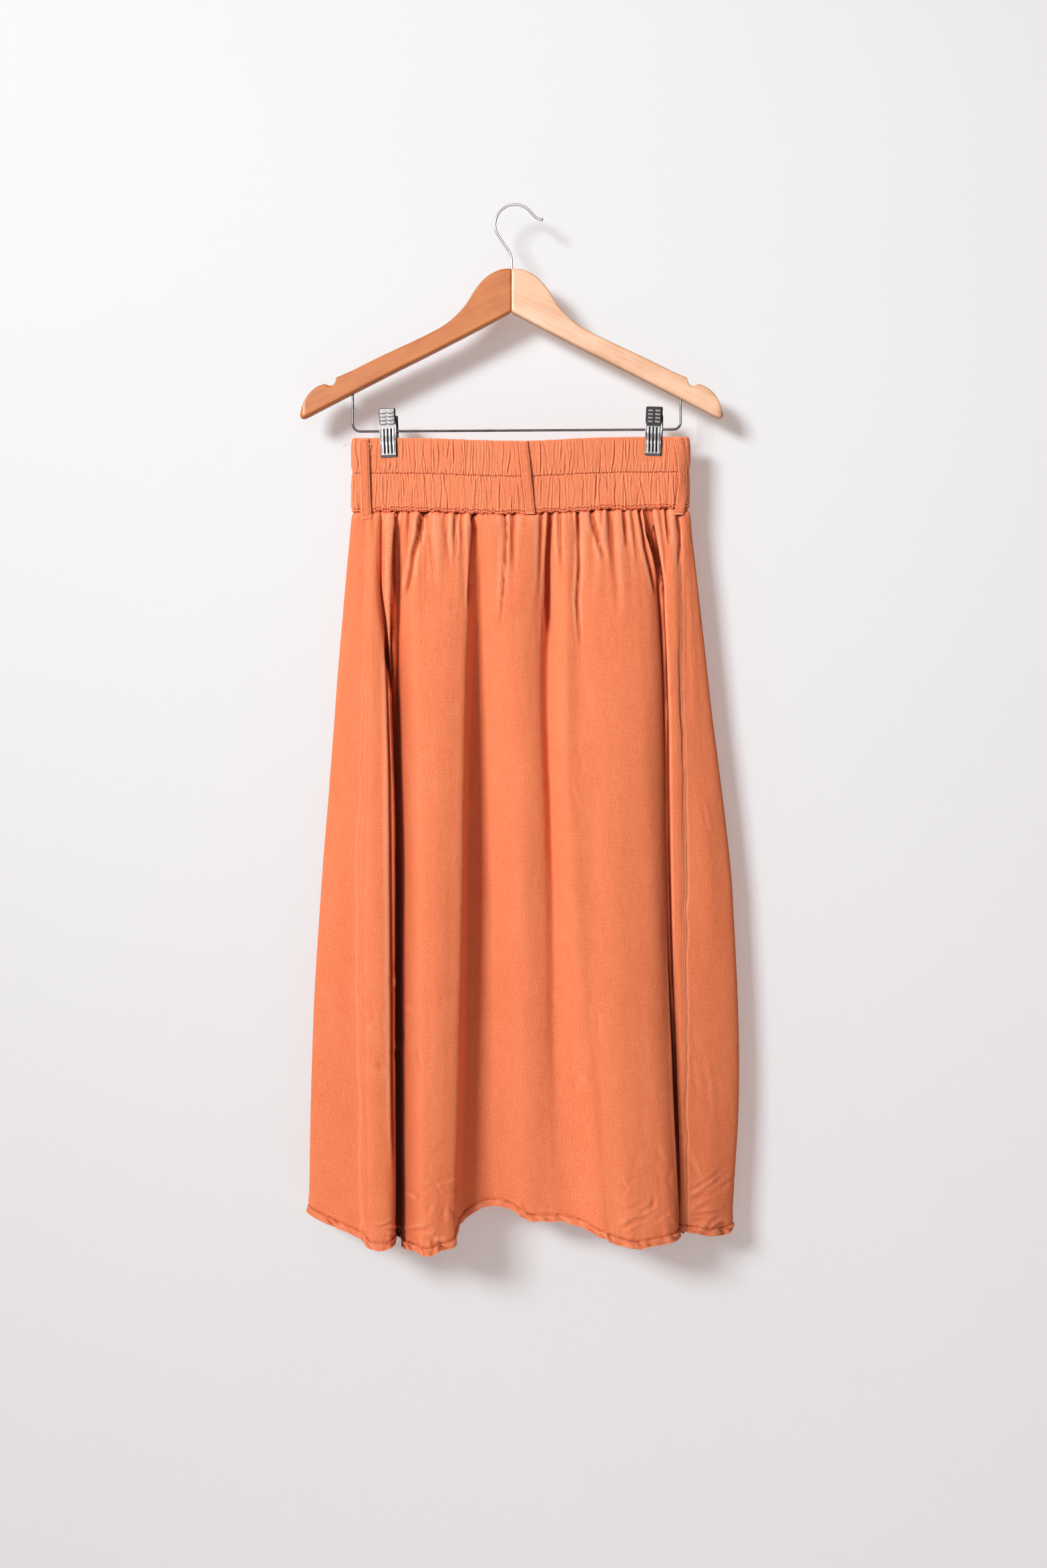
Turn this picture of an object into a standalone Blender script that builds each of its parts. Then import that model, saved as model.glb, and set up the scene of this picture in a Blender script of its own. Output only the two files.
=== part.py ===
"""Linen skirt hung flat from a wooden clip hanger.

Metres, +Z up. The origin is the point inside the hook that rests on its nail.
+X runs to the viewer's right and +Y towards the wall, so the shown side of the skirt faces -Y.
"""

import math
from collections import namedtuple

import bmesh
import bpy
from mathutils import Matrix, Vector

MM = 0.001
GAP = 0.3 * MM

# The garment
CLOTH_WALL = 1.2 * MM
HEM_WALL = 2.2 * MM
HEM_DEPTH = 8 * MM
LOOP_WALL = 1.5 * MM
BAND_WALL = 3.0 * MM
LEFT_END_X = -170 * MM
RIGHT_END_X = 180 * MM
LEFT_SEAM_X = -156 * MM
RIGHT_SEAM_X = 172 * MM

# How far each side of the waist stands from the middle plane: pinched at the clips, a little open between them
PINCHED_WAIST = 3.0 * MM
WAIST_OPENING = 3.5 * MM

# The waistband hangs from two clips and sags between them
BAND_TOP_Z = -243 * MM
BAND_TOP_SAG = 4.4 * MM
BAND_TOP_SLOPE = 0.004
WAIST_SEAM_Z = -319.5 * MM
WAIST_SEAM_SAG = 4.4 * MM
WAIST_SEAM_SLOPE = 0.010
SAG_WIDTH = 75 * MM
MID_STITCH = 0.48

# Gathers: the shown half of the waistband has the more of them, because it is cut fuller
SHOWN_BAND_GATHERS = 48
HIDDEN_BAND_GATHERS = 36
BAND_GATHER_DEPTH = 0.9 * MM
SKIRT_GATHER_DEPTH = 2.2 * MM
SKIRT_GATHER_LENGTH = 90 * MM
CLIP_PRESS_WIDTH = 11 * MM

# The hanger
ARM_THICKNESS = 12 * MM
ARM_ROUNDING = 3 * MM
MITRE_X = -4.3 * MM
HOOK_WIRE_RADIUS = 1.3 * MM
HOOK_RADIUS = 21 * MM
HOOK_TIP_RADIUS = 2.0 * MM
HOOK_INSERTION = 16 * MM
BAR_WIRE_RADIUS = 1.25 * MM
BAR_BEND_RADIUS = 7.5 * MM
BAR_INSERTION = 8 * MM
BAR_LEFT = Vector((-170.5, 0, -236.3)) * MM
BAR_RIGHT = Vector((172.5, 0, -234.2)) * MM

# The clips
CLIP_WIDTH = 17.4 * MM
CLIP_ABOVE_BAR = 22.5 * MM
CLIP_BELOW_BAR = 28.5 * MM
CLIP_PLATE = 1.2 * MM
CLIP_HALF_OPENING = 5.4 * MM
SPRING_RADIUS = 3.5 * MM
SPRING_WIDTH = 11 * MM
REAR_JAW_DROP = 5 * MM
REAR_JAW_INSET = 1.4 * MM
TAB_LEAN = 3.2 * MM
LIP_RELIEF = 0.6 * MM
RELIEF = 0.6 * MM
FLANGE_WALL = 0.9 * MM
FLANGE_HEIGHT = 11 * MM
FLUTES = 4
FLUTE_WIDTH = 1.8 * MM
FLUTE_SPACING = 3.7 * MM
FLUTE_TOP = 2.5 * MM
FLUTE_BOTTOM = -24.5 * MM
RIB_ROWS = 4
RIB_TOP = 18.2 * MM
RIB_SPACING = 3.7 * MM
RIB_OFFSET = 3.8 * MM
RIB_WIDTH = 5.4 * MM
RIB_HEIGHT = 1.6 * MM

# How far down the skirt each column of the fold table lies, as a share of the way from waist seam to hem
LEVELS = (0.0, 0.10, 0.26, 0.54, 0.80, 1.0)

# The rows of the skirt's mesh, closer at the gathers and at the hem
SKIRT_SHARES = (0.0, 0.025, 0.06, 0.1, 0.16, 0.23, 0.31, 0.4, 0.5, 0.6, 0.7, 0.8, 0.89, 0.96)
SKIRT_LENGTH = 750 * MM
HEM_START = 1 - HEM_DEPTH / SKIRT_LENGTH
HEM_STEP = 0.001
SKIRT_ROWS = tuple((share, CLOTH_WALL) for share in SKIRT_SHARES) + (
    (HEM_START - HEM_STEP, CLOTH_WALL), (HEM_START, HEM_WALL), (1.0, HEM_WALL),
)
BAND_ROWS = (0.0, 0.1, 0.40, MID_STITCH, 0.56, 0.9, 1.0)
STITCH_GROOVE = 0.8 * MM

# One row for each fold line, going right along the shown side and back along the hidden side. All in millimetres.
# side: -1 on the shown side of the waist seam, 1 on the hidden side, 0 at its two ends
# columns: mesh columns up to the next line
# x at the seam, hip, thigh, knee, shin and hem; y at the hip, thigh, knee, shin and hem; height of the hem
FoldLine = namedtuple(
    "FoldLine",
    "name side columns seam_x hip_x thigh_x knee_x shin_x hem_x hip_y thigh_y knee_y shin_y hem_y hem_z",
)
FOLD_LINES = (
    FoldLine("left_seam", -1, 1, -156, -155.5, -156.5, -162, -158.5, -156, -9, -15, -22, -26, -30, -1076),
    FoldLine("tube_left", -1, 2, -152, -151, -150, -153, -151, -149, -14, -24, -34, -39, -44, -1081),
    FoldLine("tube_right", -1, 2, -147, -146, -140, -136, -133.5, -129, -15, -25, -36, -41, -46, -1081),
    FoldLine("tube_edge", -1, 2, -142.5, -142, -132, -127.5, -126.5, -122, -10, -16, -25, -30, -35, -1078),
    FoldLine("tube_foot", -1, 1, -139.5, -139, -131, -127, -126, -121, -4, -5, -4, -8, -12, -1077),
    FoldLine("tuck_crest", -1, 1, -132, -133, -128.5, -124.5, -123.5, -119, -12, -4.5, -2.5, -5, -9, -1077),
    FoldLine("tuck_edge", -1, 1, -124.5, -127, -126, -122, -121, -116, -9, -3.5, -2.5, -5.5, -10, -1080),
    FoldLine("first_valley", -1, 1, -121, -124, -123, -119, -117.5, -113, -2, -2.5, -4, -9, -16, -1083),
    FoldLine("broad_foot", -1, 2, -117, -119, -117.5, -112, -111, -108.5, -6, -12, -20, -27, -34, -1084),
    FoldLine("broad_left", -1, 4, -107.5, -107, -102, -98.5, -97.5, -96.5, -15, -29, -42, -47, -51, -1084),
    FoldLine("broad_mid", -1, 4, -82, -83.5, -84, -84.5, -85, -86, -17, -33, -46, -50, -54, -1083),
    FoldLine("broad_right", -1, 2, -57.5, -59, -64, -69, -71.5, -75.5, -17, -32, -44, -48, -51, -1080),
    FoldLine("broad_shoulder", -1, 2, -48.5, -50, -55.5, -59.5, -64.5, -67, -13, -25, -35, -39, -42, -1077),
    FoldLine("broad_edge", -1, 2, -45, -47, -52, -55.5, -59, -63.5, -8, -15, -22, -26, -30, -1067),
    FoldLine("second_valley", -1, 1, -42, -44.5, -48, -51, -54, -57, -1, -2, -3, -7, -14, -1054),
    FoldLine("valley_rise", -1, 2, -38, -38.5, -38, -38, -38.5, -38, -3, -5, -7, -7, -8, -1044),
    FoldLine("middle_left", -1, 4, -30, -29.5, -24, -21, -18, -14, -11, -16, -19, -17, -14, -1045),
    FoldLine("middle_crest", -1, 3, 9, 9, 9, 9, 11.5, 15, -14, -21, -26, -25.5, -24, -1058),
    FoldLine("middle_right", -1, 1, 29, 27, 25, 29, 31.5, 37, -11, -17, -23, -25, -26, -1058),
    FoldLine("crease", -1, 1, 35, 34, 33, 39, 41, 51, -4, -9, -17, -23, -27, -1059),
    FoldLine("crease_right", -1, 2, 41, 42, 43.5, 49, 57, 68, -10, -17, -26, -30, -33, -1061),
    FoldLine("ridge", -1, 2, 53, 53, 51.5, 59, 76, 88, -15, -24, -34, -40, -46, -1070),
    FoldLine("ridge_foot", -1, 3, 62, 63, 66, 76, 86, 98, -12, -19, -30, -37, -44, -1072),
    FoldLine("wide_crest", -1, 4, 89, 88.5, 91.5, 101, 111, 119.5, -15, -25, -37, -45, -52, -1077),
    FoldLine("wide_shoulder", -1, 2, 120.5, 130, 138, 140.5, 146, 148.5, -13, -21, -31, -39, -46, -1075),
    FoldLine("wide_edge", -1, 2, 131.5, 145, 153, 156, 160.5, 164.5, -8, -14, -20, -27, -34, -1070),
    FoldLine("third_valley", -1, 1, 136, 148.5, 156, 159.5, 163.5, 166, -1, 0, -1, -6, -14, -1068),
    FoldLine("flap_left", -1, 2, 143.5, 153, 160, 163, 166, 168.5, -6, -9, -8, -9, -10, -1068),
    FoldLine("flap_crest", -1, 2, 157.5, 162, 166.5, 169, 170, 172, -9, -12, -13, -13, -13, -1069),
    FoldLine("right_seam", -1, 2, 172, 173, 174, 179, 176.5, 178.5, -6, -9, -11, -13, -15, -1072),
    FoldLine("right_strip", -1, 3, 176.5, 182.5, 189.5, 204.5, 205.5, 202, -4, -6, -9, -12, -16, -1075),
    FoldLine("right_side", 0, 3, 180, 189, 203, 227, 233.5, 226, 1, 2, 3, 2, 0, -1071),
    FoldLine("hidden_1", 1, 3, 168, 178, 191, 211, 216, 211, 8, 11, 14, 15, 16, -1063),
    FoldLine("hidden_2", 1, 3, 140, 147, 156, 170, 173, 172, 5, 5, 5, 5, 4, -1052),
    FoldLine("hidden_3", 1, 3, 112, 117, 123, 132, 135, 135, 9, 13, 17, 19, 20, -1049),
    FoldLine("hidden_4", 1, 3, 88, 91, 94, 98, 100, 101, 6, 6, 7, 8, 8, -1042),
    FoldLine("hidden_5", 1, 4, 48, 50, 51, 53, 54, 56, 10, 16, 23, 26, 28, -1043),
    FoldLine("hidden_6", 1, 2, 8, 9, 10, 11, 12, 13, 7, 7, 8, 9, 10, -1035),
    FoldLine("hidden_7", 1, 2, -20, -20, -21, -22, -22, -22, 9, 12, 14, 15, 15, -1038),
    FoldLine("hidden_8", 1, 3, -50, -53, -56, -60, -61, -62, 5, 4, 4, 4, 4, -1034),
    FoldLine("hidden_9", 1, 3, -92, -96, -101, -109, -112, -113, 10, 15, 20, 23, 25, -1042),
    FoldLine("hidden_10", 1, 3, -120, -127, -134, -145, -150, -151, 6, 6, 7, 7, 6, -1044),
    FoldLine("hidden_11", 1, 3, -146, -151, -159, -171, -181, -185, 8, 11, 14, 15, 15, -1050),
    FoldLine("left_side", 0, 3, -170, -177, -188, -203.5, -213.5, -217, 1, 2, 3, 2, 0, -1052),
    FoldLine("left_strip", -1, 3, -164, -168.5, -174.5, -185, -186, -187.5, -4, -7, -10, -13, -15, -1066),
)

# Outline of one wooden arm in millimetres: distance out from the mitre and height, clockwise from the top
ArmPoint = namedtuple("ArmPoint", "out z")
ARM_TOP = (
    ArmPoint(0, -66.5), ArmPoint(11, -67.5), ArmPoint(23, -73), ArmPoint(33, -82), ArmPoint(41, -93),
    ArmPoint(48.5, -105), ArmPoint(58, -115.5), ArmPoint(70, -125.5), ArmPoint(85, -134),
    ArmPoint(104.5, -143.5), ArmPoint(124, -152.5), ArmPoint(147, -163.5), ArmPoint(167, -173.5),
    ArmPoint(184, -180.5),
)
ARM_NOTCH = (ArmPoint(184.5, -185), ArmPoint(187, -188.5), ArmPoint(191, -189), ArmPoint(194.5, -187))
ARM_END = (ArmPoint(204, -190.5), ArmPoint(211.5, -197), ArmPoint(217.5, -206.5), ArmPoint(221.3, -219))
ARM_BOTTOM = (
    ArmPoint(219.5, -224), ArmPoint(197, -213), ArmPoint(165, -196.5), ArmPoint(120, -173.5),
    ArmPoint(80, -153.5), ArmPoint(40, -133), ArmPoint(0, -112),
)

# Centreline of the hook's lower bend and tip in millimetres; the round top between them is an arc
HookPoint = namedtuple("HookPoint", "x z")
HOOK_NECK = (HookPoint(-4.3, -56), HookPoint(-5.0, -52), HookPoint(-6.6, -48), HookPoint(-9.3, -44))
HOOK_TIP = (HookPoint(20.6, -11.6), HookPoint(23.4, -13.6), HookPoint(26.8, -14.5))
HOOK_CENTRE = Vector((-0.5, 0, -19.7)) * MM
HOOK_ARC_START = 218
HOOK_ARC_END = 33
HOOK_ARC_STEPS = 16

# Belt loops: where the middle of the strap is at its top, middle and bottom, and where the strap ends
BeltLoop = namedtuple("BeltLoop", "name top_x middle_x bottom_x above_band below_seam")
BELT_LOOPS = (
    BeltLoop("belt_loop_left", -158.5, -157, -155.5, -1.5, 7.5),
    BeltLoop("belt_loop_centre", 7.5, 11.5, 15.4, -1, 0.5),
    BeltLoop("belt_loop_right", 169, 174.5, 170, -1, 6.5),
)
BELT_LOOP_WIDTH = 10 * MM
BELT_LOOP_BOW = 1.6 * MM
BELT_LOOP_ROWS = 9

Clip = namedtuple("Clip", "name x tilt_degrees")
CLIPS = (Clip("clip_left", -133.4, -2.7), Clip("clip_right", 144.1, 1.8))


def clear_scene():
    for old in list(bpy.data.objects):
        bpy.data.objects.remove(old, do_unlink=True)


def make_material(name, colour, roughness, metallic=0.0):
    material = bpy.data.materials.new(name)
    material.use_nodes = True
    shader = material.node_tree.nodes["Principled BSDF"]
    shader.inputs["Base Color"].default_value = (*colour, 1)
    shader.inputs["Roughness"].default_value = roughness
    shader.inputs["Metallic"].default_value = metallic
    material.diffuse_color = (*colour, 1)
    return material


def make_collection(name):
    collection = bpy.data.collections.new(name)
    bpy.context.scene.collection.children.link(collection)
    return collection


def add_object(name, mesh, material, collection):
    obj = bpy.data.objects.new(name, mesh)
    collection.objects.link(obj)
    if material:
        mesh.materials.append(material)
    return obj


def mesh_from_bmesh(name, bm, smooth_angle=40):
    mesh = bpy.data.meshes.new(name)
    bm.to_mesh(mesh)
    bm.free()
    mesh.shade_smooth()
    mesh.set_sharp_from_angle(angle=math.radians(smooth_angle))
    return mesh


def hide_helper(obj):
    obj.hide_render = True
    obj.display_type = "WIRE"


def add_boolean(obj, other, operation):
    modifier = obj.modifiers.new(operation.title(), "BOOLEAN")
    modifier.operation = operation
    modifier.solver = "EXACT"
    modifier.object = other


def sag(x):
    """How much of the full sag the waist has at x: all in the middle, none at the clips."""
    return math.exp(-((x / SAG_WIDTH) ** 2))


def band_top_z(x):
    return BAND_TOP_Z + BAND_TOP_SLOPE * x - BAND_TOP_SAG * sag(x)


def waist_seam_z(x):
    return WAIST_SEAM_Z + WAIST_SEAM_SLOPE * x - WAIST_SEAM_SAG * sag(x)


def waist_half_depth(x):
    """Distance of either side of the waist from the middle plane y = 0."""
    left_clip_x = CLIPS[0].x * MM
    right_clip_x = CLIPS[1].x * MM
    middle_x = (left_clip_x + right_clip_x) / 2
    reach = (x - middle_x) / (right_clip_x - middle_x)
    return PINCHED_WAIST + WAIST_OPENING * max(0.0, 1 - reach * reach) ** 1.5


def clip_press(x):
    """1 where a clip's jaws press the waistband flat, fading to 0 beside them."""
    nearest = min(abs(x - clip.x * MM) for clip in CLIPS)
    return math.exp(-((nearest / CLIP_PRESS_WIDTH) ** 4))


def uneven(index, seed):
    """A repeatable number from -1 to 1 that has no visible pattern."""
    value = math.sin(index * 12.9898 + seed * 78.233) * 43758.5453
    return 2 * (value - math.floor(value)) - 1


def monotone_slopes(knots, values):
    """Slopes at the knots for a smooth curve that never swings past its values."""
    steps = [b - a for a, b in zip(knots, knots[1:])]
    rates = [(b - a) / step for a, b, step in zip(values, values[1:], steps)]
    slopes = [rates[0]]
    for before, after in zip(rates, rates[1:]):
        same_way = before * after > 0
        slopes.append(2 * before * after / (before + after) if same_way else 0.0)
    slopes.append(rates[-1])
    return slopes


def along_levels(values, share):
    """Value of one fold-table quantity at this share of the way from waist seam to hem."""
    slopes = monotone_slopes(LEVELS, values)
    index = max(i for i in range(len(LEVELS) - 1) if LEVELS[i] <= share)
    step = LEVELS[index + 1] - LEVELS[index]
    t = (share - LEVELS[index]) / step
    start = (2 * t**3 - 3 * t**2 + 1) * values[index] + (t**3 - 2 * t**2 + t) * step * slopes[index]
    end = (3 * t**2 - 2 * t**3) * values[index + 1] + (t**3 - t**2) * step * slopes[index + 1]
    return start + end


def fold_point(line, share):
    """Where a fold line is at this share of the way down the skirt."""
    seam_x = line.seam_x * MM
    seam_y = line.side * waist_half_depth(seam_x) / MM
    across = (line.seam_x, line.hip_x, line.thigh_x, line.knee_x, line.shin_x, line.hem_x)
    deep = (seam_y, line.hip_y, line.thigh_y, line.knee_y, line.shin_y, line.hem_y)
    x = along_levels(across, share)
    y = along_levels(deep, share)
    seam_z = waist_seam_z(seam_x) - GAP / 2
    z = seam_z + (line.hem_z * MM - seam_z) * share
    return Vector((x * MM, y * MM, z))


def round_curve(before, start, end, after, t):
    """A point between start and end on the centripetal curve through all four points."""
    def knot(previous, a, b):
        return previous + max((b - a).length, 1e-6) ** 0.5

    k0 = 0.0
    k1 = knot(k0, before, start)
    k2 = knot(k1, start, end)
    k3 = knot(k2, end, after)
    k = k1 + (k2 - k1) * t
    a1 = before.lerp(start, (k - k0) / (k1 - k0))
    a2 = start.lerp(end, (k - k1) / (k2 - k1))
    a3 = end.lerp(after, (k - k2) / (k3 - k2))
    b1 = a1.lerp(a2, (k - k0) / (k2 - k0))
    b2 = a2.lerp(a3, (k - k1) / (k3 - k1))
    return b1.lerp(b2, (k - k1) / (k2 - k1))


def skirt_ring(share):
    """The whole section of the skirt at this share of its length, gathered, and where each fold line is in it."""
    count = len(FOLD_LINES)
    corners = [fold_point(line, share) for line in FOLD_LINES]
    points = []
    starts = []
    for index, line in enumerate(FOLD_LINES):
        before, start, end, after = (corners[(index + shift) % count] for shift in (-1, 0, 1, 2))
        starts.append(len(points))
        points += [round_curve(before, start, end, after, k / line.columns) for k in range(line.columns)]
    for index in range(len(points)):
        if index % 2 == 0 or index in starts:
            continue
        length = SKIRT_GATHER_LENGTH * (1 + 0.6 * uneven(index, 1))
        depth = SKIRT_GATHER_DEPTH * (0.7 + 0.3 * uneven(index, 2))
        fade = max(0.0, 1 - share * SKIRT_LENGTH / length)
        towards_middle = -1 if points[index].y > 0 else 1
        points[index].y += towards_middle * depth * fade * (1 - clip_press(points[index].x))
    return points, starts


def inward_directions(points):
    """For each point of a closed ring that runs right along -Y, the level direction into the cloth."""
    directions = []
    count = len(points)
    for index, point in enumerate(points):
        into = (point - points[index - 1]).to_2d().normalized()
        out_of = (points[(index + 1) % count] - point).to_2d().normalized()
        along = (into + out_of).normalized()
        stretch = min(1 / max(along.dot(into), 0.1), 1.3)
        directions.append(Vector((-along.y, along.x, 0)) * stretch)
    return directions


def pull_back_ends(outer, inner):
    """Shortens a row of the wall by half a gap at both ends, so that two pieces meet with one gap between them."""
    for end, neighbour in ((0, 1), (-1, -2)):
        shift = (outer[neighbour] - outer[end]).normalized() * GAP / 2
        across = (inner[end] - outer[end]).normalized()
        shift -= across * shift.dot(across)
        outer[end] = outer[end] + shift
        inner[end] = inner[end] + shift


def add_wall(name, outer_rows, inner_rows, material, collection):
    """A closed wall between an outer and an inner grid of points."""
    bm = bmesh.new()
    outer = [[bm.verts.new(point) for point in row] for row in outer_rows]
    inner = [[bm.verts.new(point) for point in row] for row in inner_rows]
    last_row = len(outer) - 1
    last = len(outer[0]) - 1
    for row in range(last_row):
        for index in range(last):
            bm.faces.new((outer[row][index], outer[row + 1][index], outer[row + 1][index + 1], outer[row][index + 1]))
            bm.faces.new((inner[row][index], inner[row][index + 1], inner[row + 1][index + 1], inner[row + 1][index]))
        bm.faces.new((outer[row][0], inner[row][0], inner[row + 1][0], outer[row + 1][0]))
        bm.faces.new((outer[row][last], outer[row + 1][last], inner[row + 1][last], inner[row][last]))
    for index in range(last):
        bm.faces.new((outer[0][index], outer[0][index + 1], inner[0][index + 1], inner[0][index]))
        bottom = (outer[last_row], inner[last_row])
        bm.faces.new((bottom[0][index], bottom[1][index], bottom[1][index + 1], bottom[0][index + 1]))
    return add_object(name, mesh_from_bmesh(name, bm), material, collection)


def add_skirt_panels(shown_material, hidden_material, collection):
    names = [line.name for line in FOLD_LINES]
    left = names.index("left_seam")
    right = names.index("right_seam")
    walls = {"skirt_panel_shown": ([], []), "skirt_panel_hidden": ([], [])}
    for share, wall in SKIRT_ROWS:
        points, starts = skirt_ring(share)
        directions = inward_directions(points)
        inside = [point + direction * wall for point, direction in zip(points, directions)]
        shown = range(starts[left], starts[right] + 1)
        hidden = range(starts[right], len(points) + starts[left] + 1)
        for name, columns in (("skirt_panel_shown", shown), ("skirt_panel_hidden", hidden)):
            outer = [points[column % len(points)].copy() for column in columns]
            inner = [inside[column % len(points)].copy() for column in columns]
            pull_back_ends(outer, inner)
            walls[name][0].append(outer)
            walls[name][1].append(inner)
    add_wall("skirt_panel_shown", *walls["skirt_panel_shown"], shown_material, collection)
    add_wall("skirt_panel_hidden", *walls["skirt_panel_hidden"], hidden_material, collection)


def waist_loop_point(distance):
    """Point and outward direction on the flat loop of the waist.

    Distance runs from the left end along the shown side, round the right end and back along the hidden side.
    """
    cap = PINCHED_WAIST
    straight = RIGHT_END_X - LEFT_END_X - 2 * cap
    turn = math.pi * cap
    if distance <= straight:
        x = LEFT_END_X + cap + distance
        return Vector((x, -waist_half_depth(x), 0)), Vector((0, -1, 0))
    if distance <= straight + turn:
        angle = (distance - straight) / cap - math.pi / 2
        outward = Vector((math.cos(angle), math.sin(angle), 0))
        return Vector((RIGHT_END_X - cap, 0, 0)) + outward * cap, outward
    if distance <= 2 * straight + turn:
        x = RIGHT_END_X - cap - (distance - straight - turn)
        return Vector((x, waist_half_depth(x), 0)), Vector((0, 1, 0))
    angle = (distance - 2 * straight - turn) / cap + math.pi / 2
    outward = Vector((math.cos(angle), math.sin(angle), 0))
    return Vector((LEFT_END_X + cap, 0, 0)) + outward * cap, outward


def gather_stops(start, end, count, seed):
    """Unevenly spaced distances along the waist: a ridge, a trough, a ridge and so on."""
    widths = [1 + 0.45 * uneven(index, seed) for index in range(2 * count)]
    scale = (end - start) / sum(widths)
    stops = [start]
    for width in widths:
        stops.append(stops[-1] + width * scale)
    return stops


def add_waistbands(material, collection):
    cap = PINCHED_WAIST
    straight = RIGHT_END_X - LEFT_END_X - 2 * cap
    whole = 2 * straight + 2 * math.pi * cap
    left_seam = LEFT_SEAM_X - LEFT_END_X - cap
    right_seam = RIGHT_SEAM_X - LEFT_END_X - cap
    halves = (
        ("waistband_shown", left_seam, right_seam, SHOWN_BAND_GATHERS),
        ("waistband_hidden", right_seam, whole + left_seam, HIDDEN_BAND_GATHERS),
    )
    for seed, (name, start, end, count) in enumerate(halves):
        stops = gather_stops(start, end, count, seed + 3)
        rows = [band_row(stops, share, whole, seed) for share in BAND_ROWS]
        outer_rows = [outer for outer, inner in rows]
        inner_rows = [inner for outer, inner in rows]
        add_wall(name, outer_rows, inner_rows, material, collection)


def band_row(stops, share, whole, seed):
    """One row of the waistband: gathered outside, plain inside.

    The gathers lie flatter at both edges and stop at the stitch line between the two channels.
    """
    outer = []
    inner = []
    lower_channel = share > MID_STITCH
    held = {0.0: 0.5, MID_STITCH: 0.0, 1.0: 0.4}.get(share, 1.0)
    groove = STITCH_GROOVE if share == MID_STITCH else 0.0
    for index, stop in enumerate(stops):
        point, outward = waist_loop_point(stop % whole)
        trough = index % 2
        size = BAND_GATHER_DEPTH * (0.7 + 0.3 * uneven(index, seed + (10 if lower_channel else 20)))
        loose = 1 - 0.8 * clip_press(point.x)
        step_in = groove + trough * size * held * loose
        top = band_top_z(point.x)
        bottom = waist_seam_z(point.x) + GAP / 2
        level = Vector((0, 0, top + (bottom - top) * share))
        outer.append(point + outward * (BAND_WALL / 2 - step_in) + level)
        inner.append(point - outward * BAND_WALL / 2 + level)
    pull_back_ends(outer, inner)
    return outer, inner


def add_belt_loop(loop, material, collection):
    """A strap that lies on the waistband at both ends and bows out a little between them."""
    outer_rows = []
    inner_rows = []
    for index in range(BELT_LOOP_ROWS):
        share = index / (BELT_LOOP_ROWS - 1)
        bend = 4 * share * (1 - share)
        straight_x = loop.top_x + (loop.bottom_x - loop.top_x) * share
        bow_x = (loop.middle_x - (loop.top_x + loop.bottom_x) / 2) * bend
        middle = (straight_x + bow_x) * MM
        top = band_top_z(middle) + loop.above_band * MM
        bottom = waist_seam_z(middle) - loop.below_seam * MM
        z = top + (bottom - top) * share
        y = -waist_half_depth(middle) - BAND_WALL / 2 - GAP - BELT_LOOP_BOW * bend
        across = [middle + side * BELT_LOOP_WIDTH for side in (-0.5, 0, 0.5)]
        outer_rows.append([Vector((x, y - LOOP_WALL, z)) for x in across])
        inner_rows.append([Vector((x, y, z)) for x in across])
    add_wall(loop.name, outer_rows, inner_rows, material, collection)


def arm_outline(side):
    points = ARM_TOP + ARM_NOTCH + ARM_END + ARM_BOTTOM
    outline = []
    for point in points:
        out = max(point.out * MM, GAP / 2)
        outline.append(Vector((MITRE_X + side * out, -ARM_THICKNESS / 2, point.z * MM)))
    return outline


def add_arm(name, side, bores, material, collection):
    """A wooden arm cut from a board, its long edges rounded, with bores for the hook and the bar."""
    bm = bmesh.new()
    front = bm.faces.new([bm.verts.new(point) for point in arm_outline(side)])
    extruded = bmesh.ops.extrude_face_region(bm, geom=[front])
    moved = [item for item in extruded["geom"] if isinstance(item, bmesh.types.BMVert)]
    bmesh.ops.translate(bm, verts=moved, vec=(0, ARM_THICKNESS, 0))
    bmesh.ops.recalc_face_normals(bm, faces=bm.faces)
    rounded = []
    for edge in bm.edges:
        along_board = abs(edge.verts[0].co.y - edge.verts[1].co.y) < MM
        on_mitre = all(abs(vert.co.x - MITRE_X) < MM for vert in edge.verts)
        if along_board and not on_mitre:
            rounded.append(edge)
    bmesh.ops.bevel(
        bm, geom=rounded, offset=ARM_ROUNDING, segments=2, profile=0.5, affect="EDGES", clamp_overlap=True
    )
    arm = add_object(name, mesh_from_bmesh(name, bm), material, collection)
    for bore in bores:
        add_boolean(arm, bore, "DIFFERENCE")


def add_bore(name, x, bottom_z, top_z, radius, cutters):
    bm = bmesh.new()
    bmesh.ops.create_cone(
        bm, segments=16, radius1=radius, radius2=radius, depth=top_z - bottom_z, cap_ends=True
    )
    bore = add_object(name, mesh_from_bmesh(name, bm), None, cutters)
    bore.location = (x, 0, (top_z + bottom_z) / 2)
    hide_helper(bore)
    return bore


def arm_bottom_z(out):
    """Height of an arm's lower edge at this distance from the mitre."""
    ends = sorted(ARM_BOTTOM, key=lambda point: point.out)
    for near, far in zip(ends, ends[1:]):
        if near.out * MM <= out <= far.out * MM:
            share = (out / MM - near.out) / (far.out - near.out)
            return (near.z + (far.z - near.z) * share) * MM
    return ends[-1].z * MM


def add_wire(name, points, radius, material, collection):
    """A round wire along the points, as a curve with filled caps."""
    curve = bpy.data.curves.new(name, "CURVE")
    curve.dimensions = "3D"
    curve.bevel_depth = radius
    curve.bevel_resolution = 2
    curve.use_fill_caps = True
    spline = curve.splines.new("POLY")
    spline.points.add(len(points) - 1)
    for target, point in zip(spline.points, points):
        target.co = (*point, 1)
    wire = bpy.data.objects.new(name, curve)
    collection.objects.link(wire)
    curve.materials.append(material)
    return wire


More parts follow.
